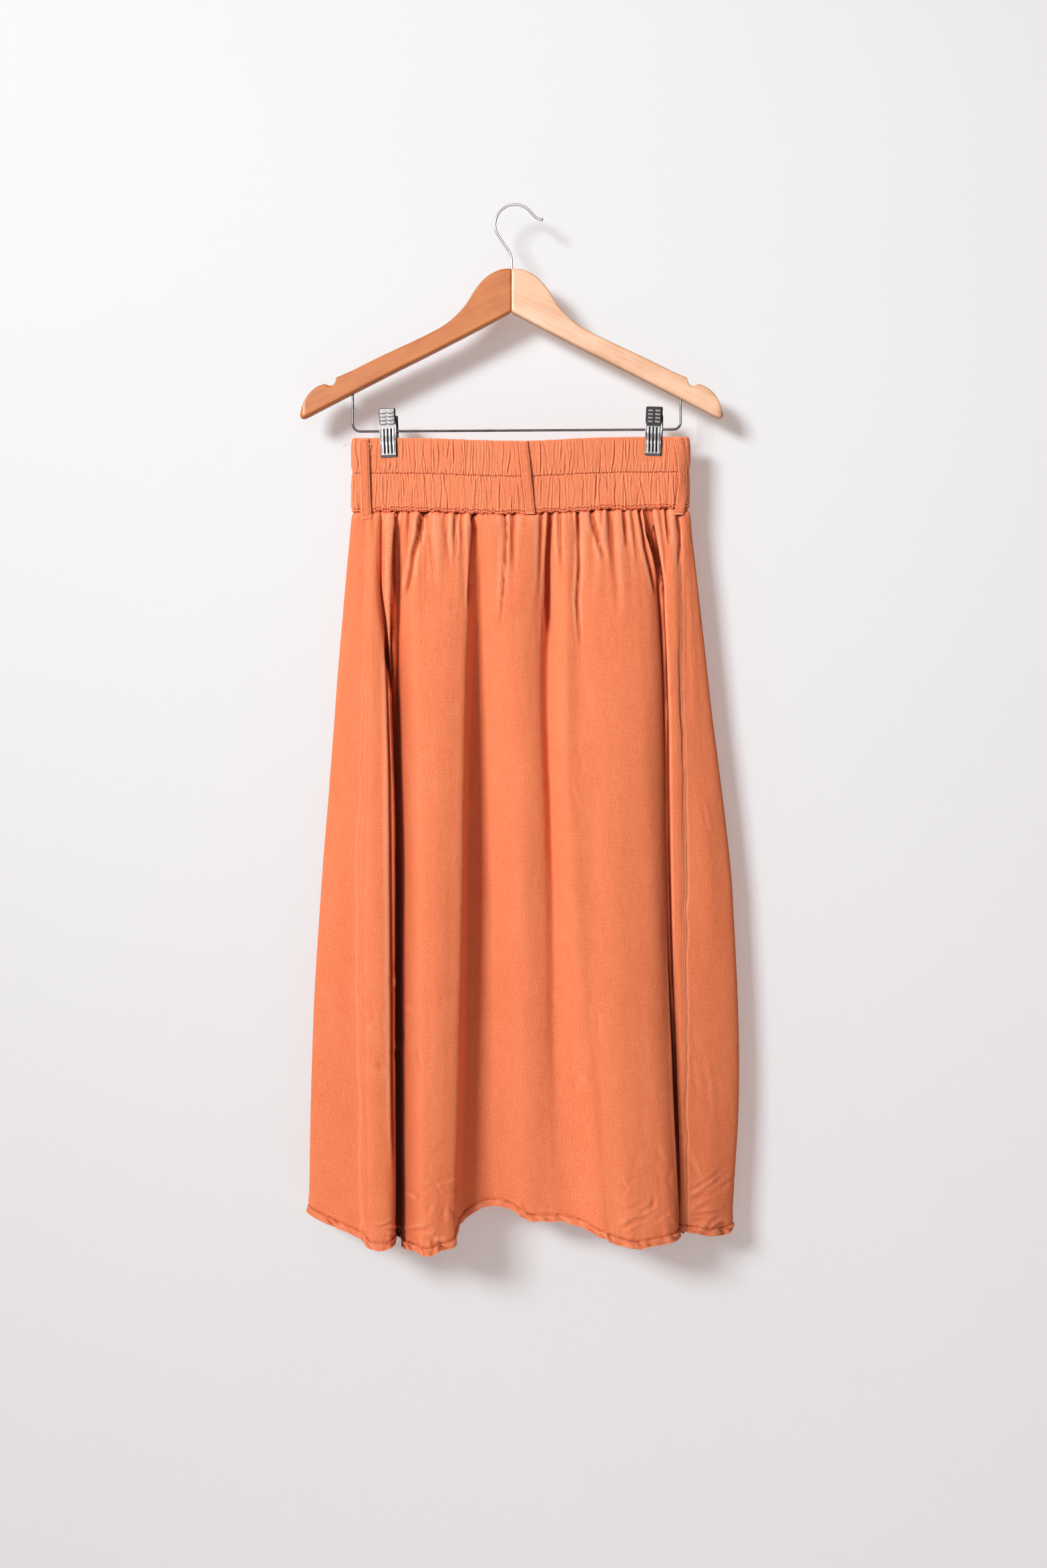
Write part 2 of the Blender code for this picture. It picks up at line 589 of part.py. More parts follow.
def curve_to_mesh(wire, material, collection):
    """The wire as a closed mesh, so that another shape can be joined to it."""
    name = wire.name
    evaluated = wire.evaluated_get(bpy.context.evaluated_depsgraph_get())
    mesh = bpy.data.meshes.new_from_object(evaluated)
    bm = bmesh.new()
    bm.from_mesh(mesh)
    bmesh.ops.remove_doubles(bm, verts=bm.verts, dist=0.00001)
    bpy.data.meshes.remove(mesh)
    matrix = wire.matrix_world.copy()
    bpy.data.objects.remove(wire, do_unlink=True)
    meshed = add_object(name, mesh_from_bmesh(name, bm), material, collection)
    meshed.name = name
    meshed.matrix_world = matrix
    return meshed


def add_hook(material, collection, cutters):
    arm_top = ARM_TOP[0].z * MM
    points = [Vector((MITRE_X, 0, arm_top - HOOK_INSERTION)), Vector((MITRE_X, 0, arm_top))]
    points += [Vector((point.x * MM, 0, point.z * MM)) for point in HOOK_NECK]
    for index in range(HOOK_ARC_STEPS + 1):
        turn = HOOK_ARC_START + (HOOK_ARC_END - HOOK_ARC_START) * index / HOOK_ARC_STEPS
        angle = math.radians(turn)
        points.append(HOOK_CENTRE + Vector((math.cos(angle), 0, math.sin(angle))) * HOOK_RADIUS)
    points += [Vector((point.x * MM, 0, point.z * MM)) for point in HOOK_TIP]
    wire = add_wire("hanger_hook", points, HOOK_WIRE_RADIUS, material, collection)
    hook = curve_to_mesh(wire, material, collection)
    bm = bmesh.new()
    bmesh.ops.create_uvsphere(bm, u_segments=12, v_segments=8, radius=HOOK_TIP_RADIUS)
    ball = add_object("hook_tip_ball", mesh_from_bmesh("hook_tip_ball", bm), None, cutters)
    ball.location = points[-1]
    ball.rotation_euler = (0.3, 0.2, 0.1)
    hide_helper(ball)
    add_boolean(hook, ball, "UNION")


def bar_z(x):
    share = (x - BAR_LEFT.x) / (BAR_RIGHT.x - BAR_LEFT.x)
    return BAR_LEFT.z + (BAR_RIGHT.z - BAR_LEFT.z) * share


def bar_leg_top(x):
    return arm_bottom_z(abs(x - MITRE_X)) + BAR_INSERTION


def add_trouser_bar(material, collection):
    points = [Vector((BAR_LEFT.x, 0, bar_leg_top(BAR_LEFT.x)))]
    corners = (
        (BAR_LEFT + Vector((BAR_BEND_RADIUS, 0, BAR_BEND_RADIUS)), 180),
        (BAR_RIGHT + Vector((-BAR_BEND_RADIUS, 0, BAR_BEND_RADIUS)), 270),
    )
    for centre, first_degrees in corners:
        for step in range(5):
            angle = math.radians(first_degrees + 90 * step / 4)
            points.append(centre + Vector((math.cos(angle), 0, math.sin(angle))) * BAR_BEND_RADIUS)
    points.append(Vector((BAR_RIGHT.x, 0, bar_leg_top(BAR_RIGHT.x))))
    add_wire("trouser_bar", points, BAR_WIRE_RADIUS, material, collection)


def add_hanger(wood, wire_metal, collection, cutters):
    arm_top = ARM_TOP[0].z * MM
    shaft_bore = add_bore(
        "shaft_bore", MITRE_X, arm_top - HOOK_INSERTION - GAP, 0, HOOK_WIRE_RADIUS + GAP, cutters
    )
    for side, name, leg_x in ((-1, "hanger_arm_left", BAR_LEFT.x), (1, "hanger_arm_right", BAR_RIGHT.x)):
        top = bar_leg_top(leg_x) + GAP
        leg_bore = add_bore(name + "_leg_bore", leg_x, BAR_LEFT.z, top, BAR_WIRE_RADIUS + GAP, cutters)
        add_arm(name, side, (shaft_bore, leg_bore), wood, collection)
    add_hook(wire_metal, collection, cutters)
    add_trouser_bar(wire_metal, collection)


def add_block(bm, centre, size):
    matrix = Matrix.Translation(centre) @ Matrix.Diagonal((*size, 1))
    bmesh.ops.create_cube(bm, size=1, matrix=matrix)


def add_bent_strip(bm, outer, thickness, x_from, x_to, facing):
    """A strip of even width, bent along the outer profile of (distance from the bar, height) points."""
    ring = list(outer) + [(depth - thickness, z) for depth, z in reversed(outer)]
    left = [bm.verts.new((x_from, facing * depth, z)) for depth, z in ring]
    right = [bm.verts.new((x_to, facing * depth, z)) for depth, z in ring]
    last = len(ring) - 1
    faces = []
    for index in range(len(ring)):
        after = (index + 1) % len(ring)
        faces.append(bm.faces.new((left[index], left[after], right[after], right[index])))
    for index in range(len(outer) - 1):
        for side in (left, right):
            faces.append(bm.faces.new((side[index], side[index + 1], side[last - index - 1], side[last - index])))
    bmesh.ops.recalc_face_normals(bm, faces=faces)


def jaw_profile(top_z):
    """Outer face of a jaw seen from the side, as (distance from the bar, height), from finger tab to lip."""
    at_bar = SPRING_RADIUS + GAP + CLIP_PLATE
    at_cloth = CLIP_HALF_OPENING + CLIP_PLATE
    return [
        (at_bar + TAB_LEAN, top_z),
        (at_bar, 3 * MM),
        (at_bar, -4 * MM),
        (at_cloth + LIP_RELIEF, -14 * MM),
        (at_cloth + LIP_RELIEF, FLUTE_BOTTOM),
        (at_cloth, -CLIP_BELOW_BAR),
    ]


def jaw_face_depth(z):
    """Distance of the front jaw's outer face from the bar at a height."""
    profile = jaw_profile(CLIP_ABOVE_BAR)
    for (upper_depth, upper_z), (lower_depth, lower_z) in zip(profile, profile[1:]):
        if upper_z >= z >= lower_z:
            return lower_depth + (upper_depth - lower_depth) * (z - lower_z) / (upper_z - lower_z)
    return profile[-1][0]


def add_jaw(name, facing, top_z, width, place, material, collection):
    """A bent plate of one width. Facing is -1 for the jaw on the shown side and 1 for the one behind."""
    bm = bmesh.new()
    add_bent_strip(bm, jaw_profile(top_z), CLIP_PLATE, -width / 2, width / 2, facing)
    jaw = add_object(name, mesh_from_bmesh(name, bm), material, collection)
    jaw.parent = place
    return jaw


def add_jaw_relief(name, place, cutters):
    """The raised parts of the front jaw: two side flanges, four upright flutes, and short ribs above them."""
    bm = bmesh.new()
    plate_inside = -(SPRING_RADIUS + GAP + CLIP_PLATE / 2)
    flange_end = -(BAR_WIRE_RADIUS + GAP)
    for side in (-1, 1):
        x = side * (CLIP_WIDTH / 2 - FLANGE_WALL)
        centre = Vector((x, (plate_inside + flange_end) / 2, -0.5 * MM))
        add_block(bm, centre, (FLANGE_WALL, flange_end - plate_inside, FLANGE_HEIGHT))
    flute_heights = (FLUTE_TOP, -4 * MM, -14 * MM, FLUTE_BOTTOM + 1.5 * MM)
    flute = [(jaw_face_depth(z) + RELIEF, z) for z in flute_heights]
    for index in range(FLUTES):
        middle = (index - (FLUTES - 1) / 2) * FLUTE_SPACING
        add_bent_strip(bm, flute, 2 * RELIEF, middle - FLUTE_WIDTH / 2, middle + FLUTE_WIDTH / 2, -1)
    for row in range(RIB_ROWS):
        z = RIB_TOP - row * RIB_SPACING
        for side in (-1, 1):
            centre = Vector((side * RIB_OFFSET, -jaw_face_depth(z), z))
            add_block(bm, centre, (RIB_WIDTH, 2 * RELIEF, RIB_HEIGHT))
    relief = add_object(name, mesh_from_bmesh(name, bm), None, cutters)
    relief.parent = place
    hide_helper(relief)
    return relief


def add_spring(name, place, material, collection):
    """The coil round the bar, as one sleeve."""
    inner = BAR_WIRE_RADIUS + GAP
    bm = bmesh.new()
    corners = (
        (inner, -SPRING_WIDTH / 2), (SPRING_RADIUS, -SPRING_WIDTH / 2),
        (SPRING_RADIUS, SPRING_WIDTH / 2), (inner, SPRING_WIDTH / 2),
    )
    profile = [bm.verts.new((radius, 0, z)) for radius, z in corners]
    for index in range(4):
        bm.edges.new((profile[index], profile[(index + 1) % 4]))
    spring = add_object(name, mesh_from_bmesh(name, bm), material, collection)
    screw = spring.modifiers.new("Turned", "SCREW")
    screw.steps = 16
    screw.render_steps = 16
    screw.use_merge_vertices = True
    screw.merge_threshold = 0.00001
    screw.use_normal_calculate = True
    screw.use_normal_flip = True
    spring.rotation_euler = (0, math.radians(90), 0)
    spring.parent = place


def add_clips(chrome, spring_metal, collection, cutters):
    for clip in CLIPS:
        place = bpy.data.objects.new(clip.name + "_place", None)
        collection.objects.link(place)
        x = clip.x * MM
        place.location = (x, 0, bar_z(x))
        place.rotation_euler = (0, math.radians(clip.tilt_degrees), 0)
        front = add_jaw(clip.name + "_front", -1, CLIP_ABOVE_BAR, CLIP_WIDTH, place, chrome, collection)
        add_boolean(front, add_jaw_relief(clip.name + "_relief", place, cutters), "UNION")
        rear_top = CLIP_ABOVE_BAR - REAR_JAW_DROP
        add_jaw(clip.name + "_rear", 1, rear_top, CLIP_WIDTH - REAR_JAW_INSET, place, chrome, collection)
        add_spring(clip.name + "_spring", place, spring_metal, collection)


def main():
    clear_scene()
    garment = make_collection("linen skirt on clip hanger")
    cutters = make_collection("cutters")
    linen = make_material("rust linen", (0.83, 0.24, 0.10), 0.9)
    hidden_linen = make_material("rust linen, hidden side", (0.76, 0.21, 0.09), 0.9)
    band_linen = make_material("gathered linen", (0.88, 0.29, 0.14), 0.9)
    loop_linen = make_material("pressed linen", (0.84, 0.26, 0.12), 0.9)
    wood = make_material("varnished beech", (0.75, 0.42, 0.22), 0.45)
    wire_metal = make_material("bright wire", (0.62, 0.62, 0.63), 0.25, 1.0)
    chrome = make_material("chromed steel", (0.7, 0.7, 0.71), 0.18, 1.0)
    spring_metal = make_material("dark spring steel", (0.25, 0.25, 0.26), 0.4, 1.0)
    add_skirt_panels(linen, hidden_linen, garment)
    add_waistbands(band_linen, garment)
    for loop in BELT_LOOPS:
        add_belt_loop(loop, loop_linen, garment)
    add_hanger(wood, wire_metal, garment, cutters)
    add_clips(chrome, spring_metal, garment, cutters)
    bpy.context.view_layer.update()


main()
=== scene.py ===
import math
from collections import namedtuple

import bpy
import numpy as np
from mathutils import Matrix, Vector


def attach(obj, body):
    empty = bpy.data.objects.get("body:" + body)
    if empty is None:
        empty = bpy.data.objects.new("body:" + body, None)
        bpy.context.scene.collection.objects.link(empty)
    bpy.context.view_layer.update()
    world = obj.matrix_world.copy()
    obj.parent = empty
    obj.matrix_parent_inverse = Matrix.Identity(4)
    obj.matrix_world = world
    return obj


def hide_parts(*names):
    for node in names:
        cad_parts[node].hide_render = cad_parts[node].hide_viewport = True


# Looks of a linen skirt on a wooden clip hanger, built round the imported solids.
# Metres, +Z up, +X to the viewer's right, -Y towards the viewer. The origin is where the hook rests.

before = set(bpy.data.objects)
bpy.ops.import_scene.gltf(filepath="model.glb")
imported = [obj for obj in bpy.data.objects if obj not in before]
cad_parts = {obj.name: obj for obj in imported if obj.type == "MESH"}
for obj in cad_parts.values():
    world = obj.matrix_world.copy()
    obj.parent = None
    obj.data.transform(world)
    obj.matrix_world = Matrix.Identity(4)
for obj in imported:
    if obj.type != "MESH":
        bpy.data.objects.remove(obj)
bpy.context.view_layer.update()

MM = 0.001

# Sizes that the solids have too
BAND_WALL = 3.0 * MM
LEFT_END_X = -170 * MM
RIGHT_END_X = 180 * MM
LEFT_SEAM_X = -156 * MM
RIGHT_SEAM_X = 172 * MM
PINCHED_WAIST = 3.0 * MM
WAIST_OPENING = 3.5 * MM
BAND_TOP_Z = -243 * MM
BAND_TOP_SAG = 4.4 * MM
BAND_TOP_SLOPE = 0.004
WAIST_SEAM_Z = -319.5 * MM
WAIST_SEAM_SAG = 4.4 * MM
WAIST_SEAM_SLOPE = 0.010
SAG_WIDTH = 75 * MM
CLIP_PRESS_WIDTH = 11 * MM
SKIRT_LENGTH = 750 * MM
GAP = 0.3 * MM
BAR_LEFT = Vector((-170.5, 0, -236.3)) * MM
BAR_RIGHT = Vector((172.5, 0, -234.2)) * MM

# How far down the skirt each column of the fold table lies, as a share of the way from waist seam to hem
LEVELS = np.array((0.0, 0.10, 0.26, 0.54, 0.80, 1.0))

# One row for each fold line, right along the shown side and back along the hidden side, in millimetres
# side: -1 on the shown side of the waist seam, 1 on the hidden side, 0 at its two ends
# x at the seam, hip, thigh, knee, shin and hem; y at the hip, thigh, knee, shin and hem; height of the hem
FoldLine = namedtuple(
    "FoldLine",
    "name side seam_x hip_x thigh_x knee_x shin_x hem_x hip_y thigh_y knee_y shin_y hem_y hem_z",
)
FOLD_LINES = (
    FoldLine("left_seam", -1, -156, -155.5, -156.5, -162, -158.5, -156, -9, -15, -22, -26, -30, -1076),
    FoldLine("tube_left", -1, -152, -151, -150, -153, -151, -149, -14, -24, -34, -39, -44, -1081),
    FoldLine("tube_right", -1, -147.5, -147, -139.5, -136.5, -134.5, -132, -15, -25, -36.5, -41.5, -46, -1081),
    FoldLine("tube_edge", -1, -143, -143, -129.5, -125.4, -125.2, -125.5, -13, -22.5, -33, -38, -42, -1079),
    FoldLine("tube_foot", -1, -140.5, -140.5, -129.4, -125, -124.6, -124.5, -7, -6, -5, -9, -13, -1077),
    FoldLine("tuck_crest", -1, -132.5, -134, -128, -123.8, -123.2, -122.4, -15.5, -7, -2.5, -5, -9, -1077),
    FoldLine("tuck_edge", -1, -125, -127.4, -125.9, -122.4, -121.4, -120, -13.5, -6, -2.5, -5.5, -10, -1080),
    FoldLine("first_valley", -1, -121, -124, -123.6, -121, -119.8, -117.4, -2, -2.5, -4, -9, -16, -1083),
    FoldLine("broad_foot", -1, -117, -119, -118.3, -116, -114.8, -112.6, -6, -11, -17, -24, -32, -1084),
    FoldLine("broad_left", -1, -107.5, -107, -102, -98.5, -97.5, -96.5, -15, -29, -42, -47, -51, -1084),
    FoldLine("broad_mid", -1, -82, -83.5, -84, -84.5, -85, -86, -17, -33, -46, -50, -54, -1083),
    FoldLine("broad_right", -1, -57.5, -59, -63, -67, -70.5, -74.5, -17, -32, -44.5, -48.5, -51.5, -1080),
    FoldLine("broad_shoulder", -1, -47.5, -48.8, -52.6, -55.6, -60, -64, -14.2, -29, -41.5, -45, -48, -1077),
    FoldLine("broad_edge", -1, -44.6, -46.2, -50.2, -53, -57.2, -61.5, -9.5, -23, -34, -38, -41, -1069),
    FoldLine("second_valley", -1, -39.5, -41, -43.5, -46, -49.5, -53.5, -3.5, -6, -8, -13, -19, -1056),
    FoldLine("valley_rise", -1, -35, -34, -33, -33, -34.5, -36, -4, -8, -11, -13, -14, -1046),
    FoldLine("middle_left", -1, -29, -26, -18, -15, -14, -12, -11, -15.5, -18, -17, -15, -1045),
    FoldLine("middle_crest", -1, 9, 9, 9, 9, 11.5, 15, -14, -21, -26, -25.5, -24, -1058),
    FoldLine("middle_right", -1, 29, 27, 25, 29, 31.5, 37, -11, -17, -23, -25, -26, -1058),
    FoldLine("crease", -1, 35, 34, 33, 39, 41, 51, -4, -9, -17, -23, -27, -1059),
    FoldLine("crease_right", -1, 41, 42, 43.5, 49, 57, 68, -10, -17, -26, -30, -33, -1061),
    FoldLine("ridge", -1, 53, 53, 51.5, 59, 76, 88, -14.5, -23, -32.5, -38.5, -45, -1070),
    FoldLine("ridge_foot", -1, 62, 63, 66, 76, 86, 98, -13.5, -22.5, -33.5, -40, -46.5, -1072),
    FoldLine("wide_crest", -1, 89, 88.5, 91.5, 101, 111, 119.5, -15, -25, -37, -45, -52, -1077),
    FoldLine("wide_shoulder", -1, 120.5, 130, 137, 140.5, 148, 152, -13, -21, -31, -39, -46, -1075),
    FoldLine("wide_edge", -1, 131.5, 145, 151.4, 156, 163.6, 168.8, -8, -14, -20, -27, -34, -1070),
    FoldLine("third_valley", -1, 136, 147.5, 153, 156.8, 164.4, 169.6, -1, 0, -1, -6, -14, -1068),
    FoldLine("flap_left", -1, 142.5, 151, 155.8, 157.6, 165.8, 171, -7, -11.5, -13, -18, -23, -1068),
    FoldLine("flap_crest", -1, 157.5, 162, 166, 167.5, 170.5, 173.6, -9, -12.5, -15.5, -19, -23, -1069),
    FoldLine("right_seam", -1, 172, 173, 174, 177.5, 176, 176.6, -6, -9, -13, -18.5, -22.5, -1070),
    FoldLine("right_strip", -1, 176.5, 182.5, 189.5, 204.5, 205.5, 202, -4, -6, -9, -12, -16, -1075),
    FoldLine("right_side", 0, 180, 189, 203, 227, 233.5, 226, 1, 2, 3, 2, 0, -1071),
    FoldLine("hidden_1", 1, 168, 178, 191, 211, 216, 211, 8, 11, 14, 15, 16, -1063),
    FoldLine("hidden_2", 1, 140, 147, 156, 170, 173, 172, 5, 5, 5, 5, 4, -1052),
    FoldLine("hidden_3", 1, 112, 117, 123, 132, 135, 135, 9, 13, 17, 19, 20, -1049),
    FoldLine("hidden_4", 1, 88, 91, 94, 98, 100, 101, 6, 6, 7, 8, 8, -1042),
    FoldLine("hidden_5", 1, 48, 50, 51, 53, 54, 56, 10, 16, 23, 26, 28, -1043),
    FoldLine("hidden_6", 1, 8, 9, 10, 11, 12, 13, 7, 7, 8, 9, 10, -1035),
    FoldLine("hidden_7", 1, -20, -20, -21, -22, -22, -22, 9, 12, 14, 15, 15, -1038),
    FoldLine("hidden_8", 1, -50, -53, -56, -60, -61, -62, 5, 4, 4, 4, 4, -1034),
    FoldLine("hidden_9", 1, -92, -96, -101, -109, -112, -113, 10, 15, 20, 23, 25, -1042),
    FoldLine("hidden_10", 1, -120, -127, -134, -145, -150, -151, 6, 6, 7, 7, 6, -1044),
    FoldLine("hidden_11", 1, -146, -151, -159, -171, -181, -185, 8, 11, 14, 15, 15, -1050),
    FoldLine("left_side", 0, -170, -177, -188, -203.5, -213.5, -217, 1, 2, 3, 2, 0, -1052),
    FoldLine("left_strip", -1, -164, -168.5, -174.5, -185, -186, -187.5, -4, -7, -10, -13, -15, -1066),
)

# Creases that start at the waist seam and the ones that run free below it, as seen from the front.
# depth, width to the left and to the right, height of the lip on the left and on the right,
# how far down it holds its depth, and its points of (distance to the right, drop below the hook).
# All in millimetres, but for the share that it holds; a negative depth is a ridge.
Crease = namedtuple("Crease", "name depth left right lip_left lip_right hold track")
SHOWN_CREASES = (
    Crease("tuck_gap", 4.0, 1.0, 1.3, 0.2, 0, 0.75, (
        (-124.2, 322.7), (-124.2, 333.2), (-125.4, 345.1), (-127.5, 380.7), (-129.6, 456.2),
        (-129.6, 511.5))),
    Crease("wide_gap", 3.5, 1.2, 1.6, 0.3, 0, 0.85, (
        (139.5, 322.7), (143.7, 343.7), (152.1, 399.6), (156.3, 483.5), (158.4, 553.4), (159.8, 658.2),
        (162.6, 798), (167.5, 937.8), (172.4, 1042.7), (173.8, 1077.6))),
    Crease("tube_gap", 3.0, 1.3, 1.5, 0.2, 0, 0.85, (
        (-142.2, 336.7), (-146.4, 360.5), (-142.4, 396.1), (-137.3, 431.1), (-133.8, 482.1), (-131, 588.3),
        (-129.6, 763.1), (-128.9, 902.9), (-128.2, 1028.7))),
    Crease("broad_slant", 2.60, 1.4, 3.0, 0.5, 0.1, 0.65, (
        (-98.1, 323.4), (-99.9, 326.9), (-102.3, 345.8), (-108.6, 365.4), (-114.2, 392.6),
        (-118.4, 417.1))),
    Crease("broad_short", 1.82, 1.1, 1.4, 0.2, 0.3, 0.45, (
        (-62.5, 322), (-63.9, 338.8), (-63.2, 350.7), (-62.8, 371.7))),
    Crease("broad_edge", 3.0, 1.3, 3.2, 0.4, 0, 0.65, (
        (-45.3, 324.1), (-43.6, 338.8), (-46.1, 365.4), (-47.8, 392.6), (-49.2, 434.6))),
    Crease("middle_thin", 1.69, 1.0, 1.1, 0.1, 0.3, 0.45, (
        (-11.5, 323.4), (-9.4, 338.8), (-11.5, 378.6), (-13.9, 413.6), (-18.5, 459))),
    Crease("middle_tuck", 2.0, 1.2, 2.8, 0.5, 0, 0.65, (
        (35.4, 322), (34, 338.8), (32.6, 365.4), (32.6, 413.6), (33.3, 462.5))),
    Crease("ridge_thin", 1.82, 1.0, 1.3, 0.3, 0.1, 0.65, (
        (64.7, 319.2), (66.1, 352.1), (66.1, 378.6), (64, 413.6), (68, 473))),
    Crease("ridge_slant", 1.30, 2.0, 2.2, 0.3, 0.2, 0.65, (
        (79.4, 322.7), (85, 345.5), (90.9, 365.4), (92.3, 378.6))),
    Crease("wide_short", 1.95, 1.2, 1.3, 0.3, 0.2, 0.45, ((113, 317.1), (115.1, 345.8), (115.1, 364.7))),
    Crease("wide_thin", 2.08, 1.2, 1.8, 0.2, 0.4, 0.65, (
        (129, 316.4), (133.1, 338.8), (135.7, 359.1), (142.3, 385.6), (147.9, 417.1))),
    Crease("wide_edge", 3.2, 1.5, 3.2, 0.5, 0, 0.65, (
        (135.7, 318.5), (139.5, 345.5), (145.1, 365.4), (150.5, 392.6), (153.2, 420.6))),
    Crease("flap_short", 1.2, 0.9, 0.9, 0.3, 0.1, 0.45, ((142.3, 324.1), (145.1, 349.3))),
    Crease("flap_left", 2.21, 1.1, 1.7, 0.3, 0.1, 0.45, ((157, 319.9), (159.8, 344.4), (160.5, 359.1))),
    Crease("seam_bend", 1.4, 1.2, 1.4, 0.3, 0.2, 0.45, (
        (168.9, 324.1), (172.4, 345.8), (171, 365.4), (169.2, 387))),
    Crease("fold_a", 0.51, 1.3, 2.2, 0.3, 0.3, 0.35, (
        (-92.5, 325.5), (-90.5, 343.7), (-87.0, 378.6), (-85.6, 413.6))),
    Crease("fold_c", 0.55, 1.2, 2.0, 0.3, 0.2, 0.35, (
        (-73.0, 325.5), (-72.3, 352.1), (-70.2, 385.6), (-70.2, 413.6))),
    Crease("fold_d", 0.55, 2.8, 1.6, 0.2, 0.4, 0.35, (
        (-56.2, 325.5), (-54.8, 357.7), (-53.4, 399.6), (-54.1, 469.5))),
    Crease("fold_g", 0.51, 1.8, 2.6, 0.4, 0.2, 0.35, ((-3.1, 326.9), (-4.5, 364.7), (-7.3, 420.6))),
    Crease("fold_h", 0.65, 2.4, 1.5, 0.2, 0.5, 0.35, ((27.0, 325.5), (27.0, 364.7), (24.9, 427.6))),
    Crease("fold_i", 0.51, 1.4, 1.5, 0.3, 0.3, 0.4, ((45.9, 324.1), (45.9, 352.1), (48.7, 392.6))),
    Crease("fold_k", 0.61, 2.2, 2.6, 0.4, 0.4, 0.35, (
        (97.6, 319.9), (100.4, 350.7), (104.6, 399.6), (107.4, 476.5))),
    Crease("fold_l", 0.55, 1.2, 2.2, 0.4, 0.2, 0.4, ((121.3, 318.5), (124.1, 343.7), (128.3, 392.6))),
    Crease("fold_n", 0.46, 1.3, 1.4, 0.3, 0.3, 0.4, ((151.4, 322.0), (156.3, 364.7), (159.1, 413.6))),
    Crease("fold_o", 0.51, 1.4, 1.6, 0.3, 0.3, 0.4, ((-112.1, 325.5), (-114.9, 343.7), (-117.7, 385.6))),
    Crease("fold_p", 0.42, 2.2, 2.6, 0.3, 0.3, 0.35, ((-162.4, 336.7), (-166.6, 378.6), (-171.5, 455.5))),
    Crease("fold_q", 0.42, 1.6, 2.0, 0.3, 0.3, 0.35, ((-153.4, 336.7), (-154.1, 378.6), (-154.8, 455.5))),
    Crease("left_pale", -0.5, 1.0, 1.3, 0, 0, 0.45, (
        (-164.5, 326.9), (-166.6, 364.7), (-170.8, 413.6), (-175, 455.5))),
    Crease("right_slant", 0.8, 1.0, 1.2, 0.2, 0.1, 0.45, ((194.7, 635.2), (191.9, 653.4), (189.1, 673.6))),
    Crease("side_double", 0.9, 0.9, 1.0, 0.3, 0.3, 0.8, (
        (170.3, 378.6), (171.7, 483.5), (174.5, 588.3), (175.9, 693.2), (175.2, 833.0), (173.8, 937.8),
        (172.4, 1035.7))),
)

# Painted shade in the deep gaps between folds, where little light reaches: a fold line, then how dark the
# cloth is painted there at the gathers and further down
VALLEY_SHADES = (
    ("left_seam", 0.03, 0.05), ("tube_left", 0, 0), ("tube_right", 0, 0), ("tube_edge", 0, 0.12),
    ("tube_foot", 0.25, 0.85), ("tuck_crest", 0, 0.85), ("tuck_edge", 0.1, 0.8), ("first_valley", 0.45, 0.66),
    ("broad_foot", 0.05, 0.32), ("broad_left", 0, 0), ("broad_mid", 0, 0), ("broad_right", 0, 0.03),
    ("broad_shoulder", 0, 0.05), ("broad_edge", 0, 0), ("second_valley", 0.05, 0.05), ("valley_rise", 0, 0),
    ("middle_right", 0, 0), ("crease", 0.08, 0.05), ("crease_right", 0, 0), ("wide_shoulder", 0, 0),
    ("wide_edge", 0.1, 0.3), ("third_valley", 1.0, 0.95), ("flap_left", 0.1, 0.2), ("flap_crest", 0, 0),
    ("left_side", 0, 0), ("left_strip", 0.03, 0.05),
)

# Places where the cloth is crumpled in short wrinkles: centre, reach, how many, their length and depth,
# and their slope where they lie one way
Crumple = namedtuple("Crumple", "x drop reach_x reach_z count length depth slope", defaults=(None,))
SHOWN_CRUMPLES = (
    Crumple(-140, 860, 26, 70, 26, 17, 0.55),
    Crumple(-95, 1035, 45, 40, 16, 20, 0.5),
    Crumple(206, 930, 20, 120, 26, 20, 0.6),
    Crumple(120, 1020, 60, 45, 18, 20, 0.45),
    Crumple(-190, 1010, 25, 45, 12, 16, 0.5),
    Crumple(20, 700, 130, 260, 30, 34, 0.28),
    Crumple(80, 880, 60, 120, 16, 26, 0.35),
    Crumple(135, 1062, 28, 16, 8, 24, 0.45, 1.9),
    Crumple(-110, 1075, 22, 14, 7, 22, 1.0, 1.75),
)
HIDDEN_CRUMPLES = (
    Crumple(203, 1036, 17, 32, 11, 32, 0.9, 1.95),
    Crumple(196, 930, 14, 70, 8, 36, 0.35, 0.3),
    Crumple(-120, 900, 60, 120, 30, 24, 0.5),
    Crumple(60, 1000, 110, 60, 30, 22, 0.5),
    Crumple(150, 700, 50, 160, 18, 26, 0.4),
    Crumple(-20, 600, 110, 200, 24, 30, 0.3),
)

# The camera's place, which the crease table is measured from too
VIEW_DISTANCE = 1.8
VIEW_X = 8.108 * MM
VIEW_Z = -605.47 * MM
CAMERA_LENS = 39.46
CAMERA_SENSOR = 36

# The skirt's cloth
CLOTH_WALL = 0.8 * MM
# Distance between columns on each side
SHOWN_SPACING = 1.7 * MM
HIDDEN_SPACING = 2.9 * MM
# The rows lie closer in the zone above the hem
HEM_ZONE = 72 * MM
HEM_ROWS = 48
HEM_DEPTH = 7 * MM
# How far along the waist seam a crease keeps to its own columns
CREASE_COLUMNS = 15 * MM
KNEE_SHARE = 0.54
# Creases that start above this drop start at the waist seam
SEAM_CREASE_DROP = 330 * MM
# The gathers spring out below the seam: by how much, how soon and how far down
SHOULDER = 0.42
SHOULDER_REACH = 9 * MM
SHOULDER_END = 85 * MM
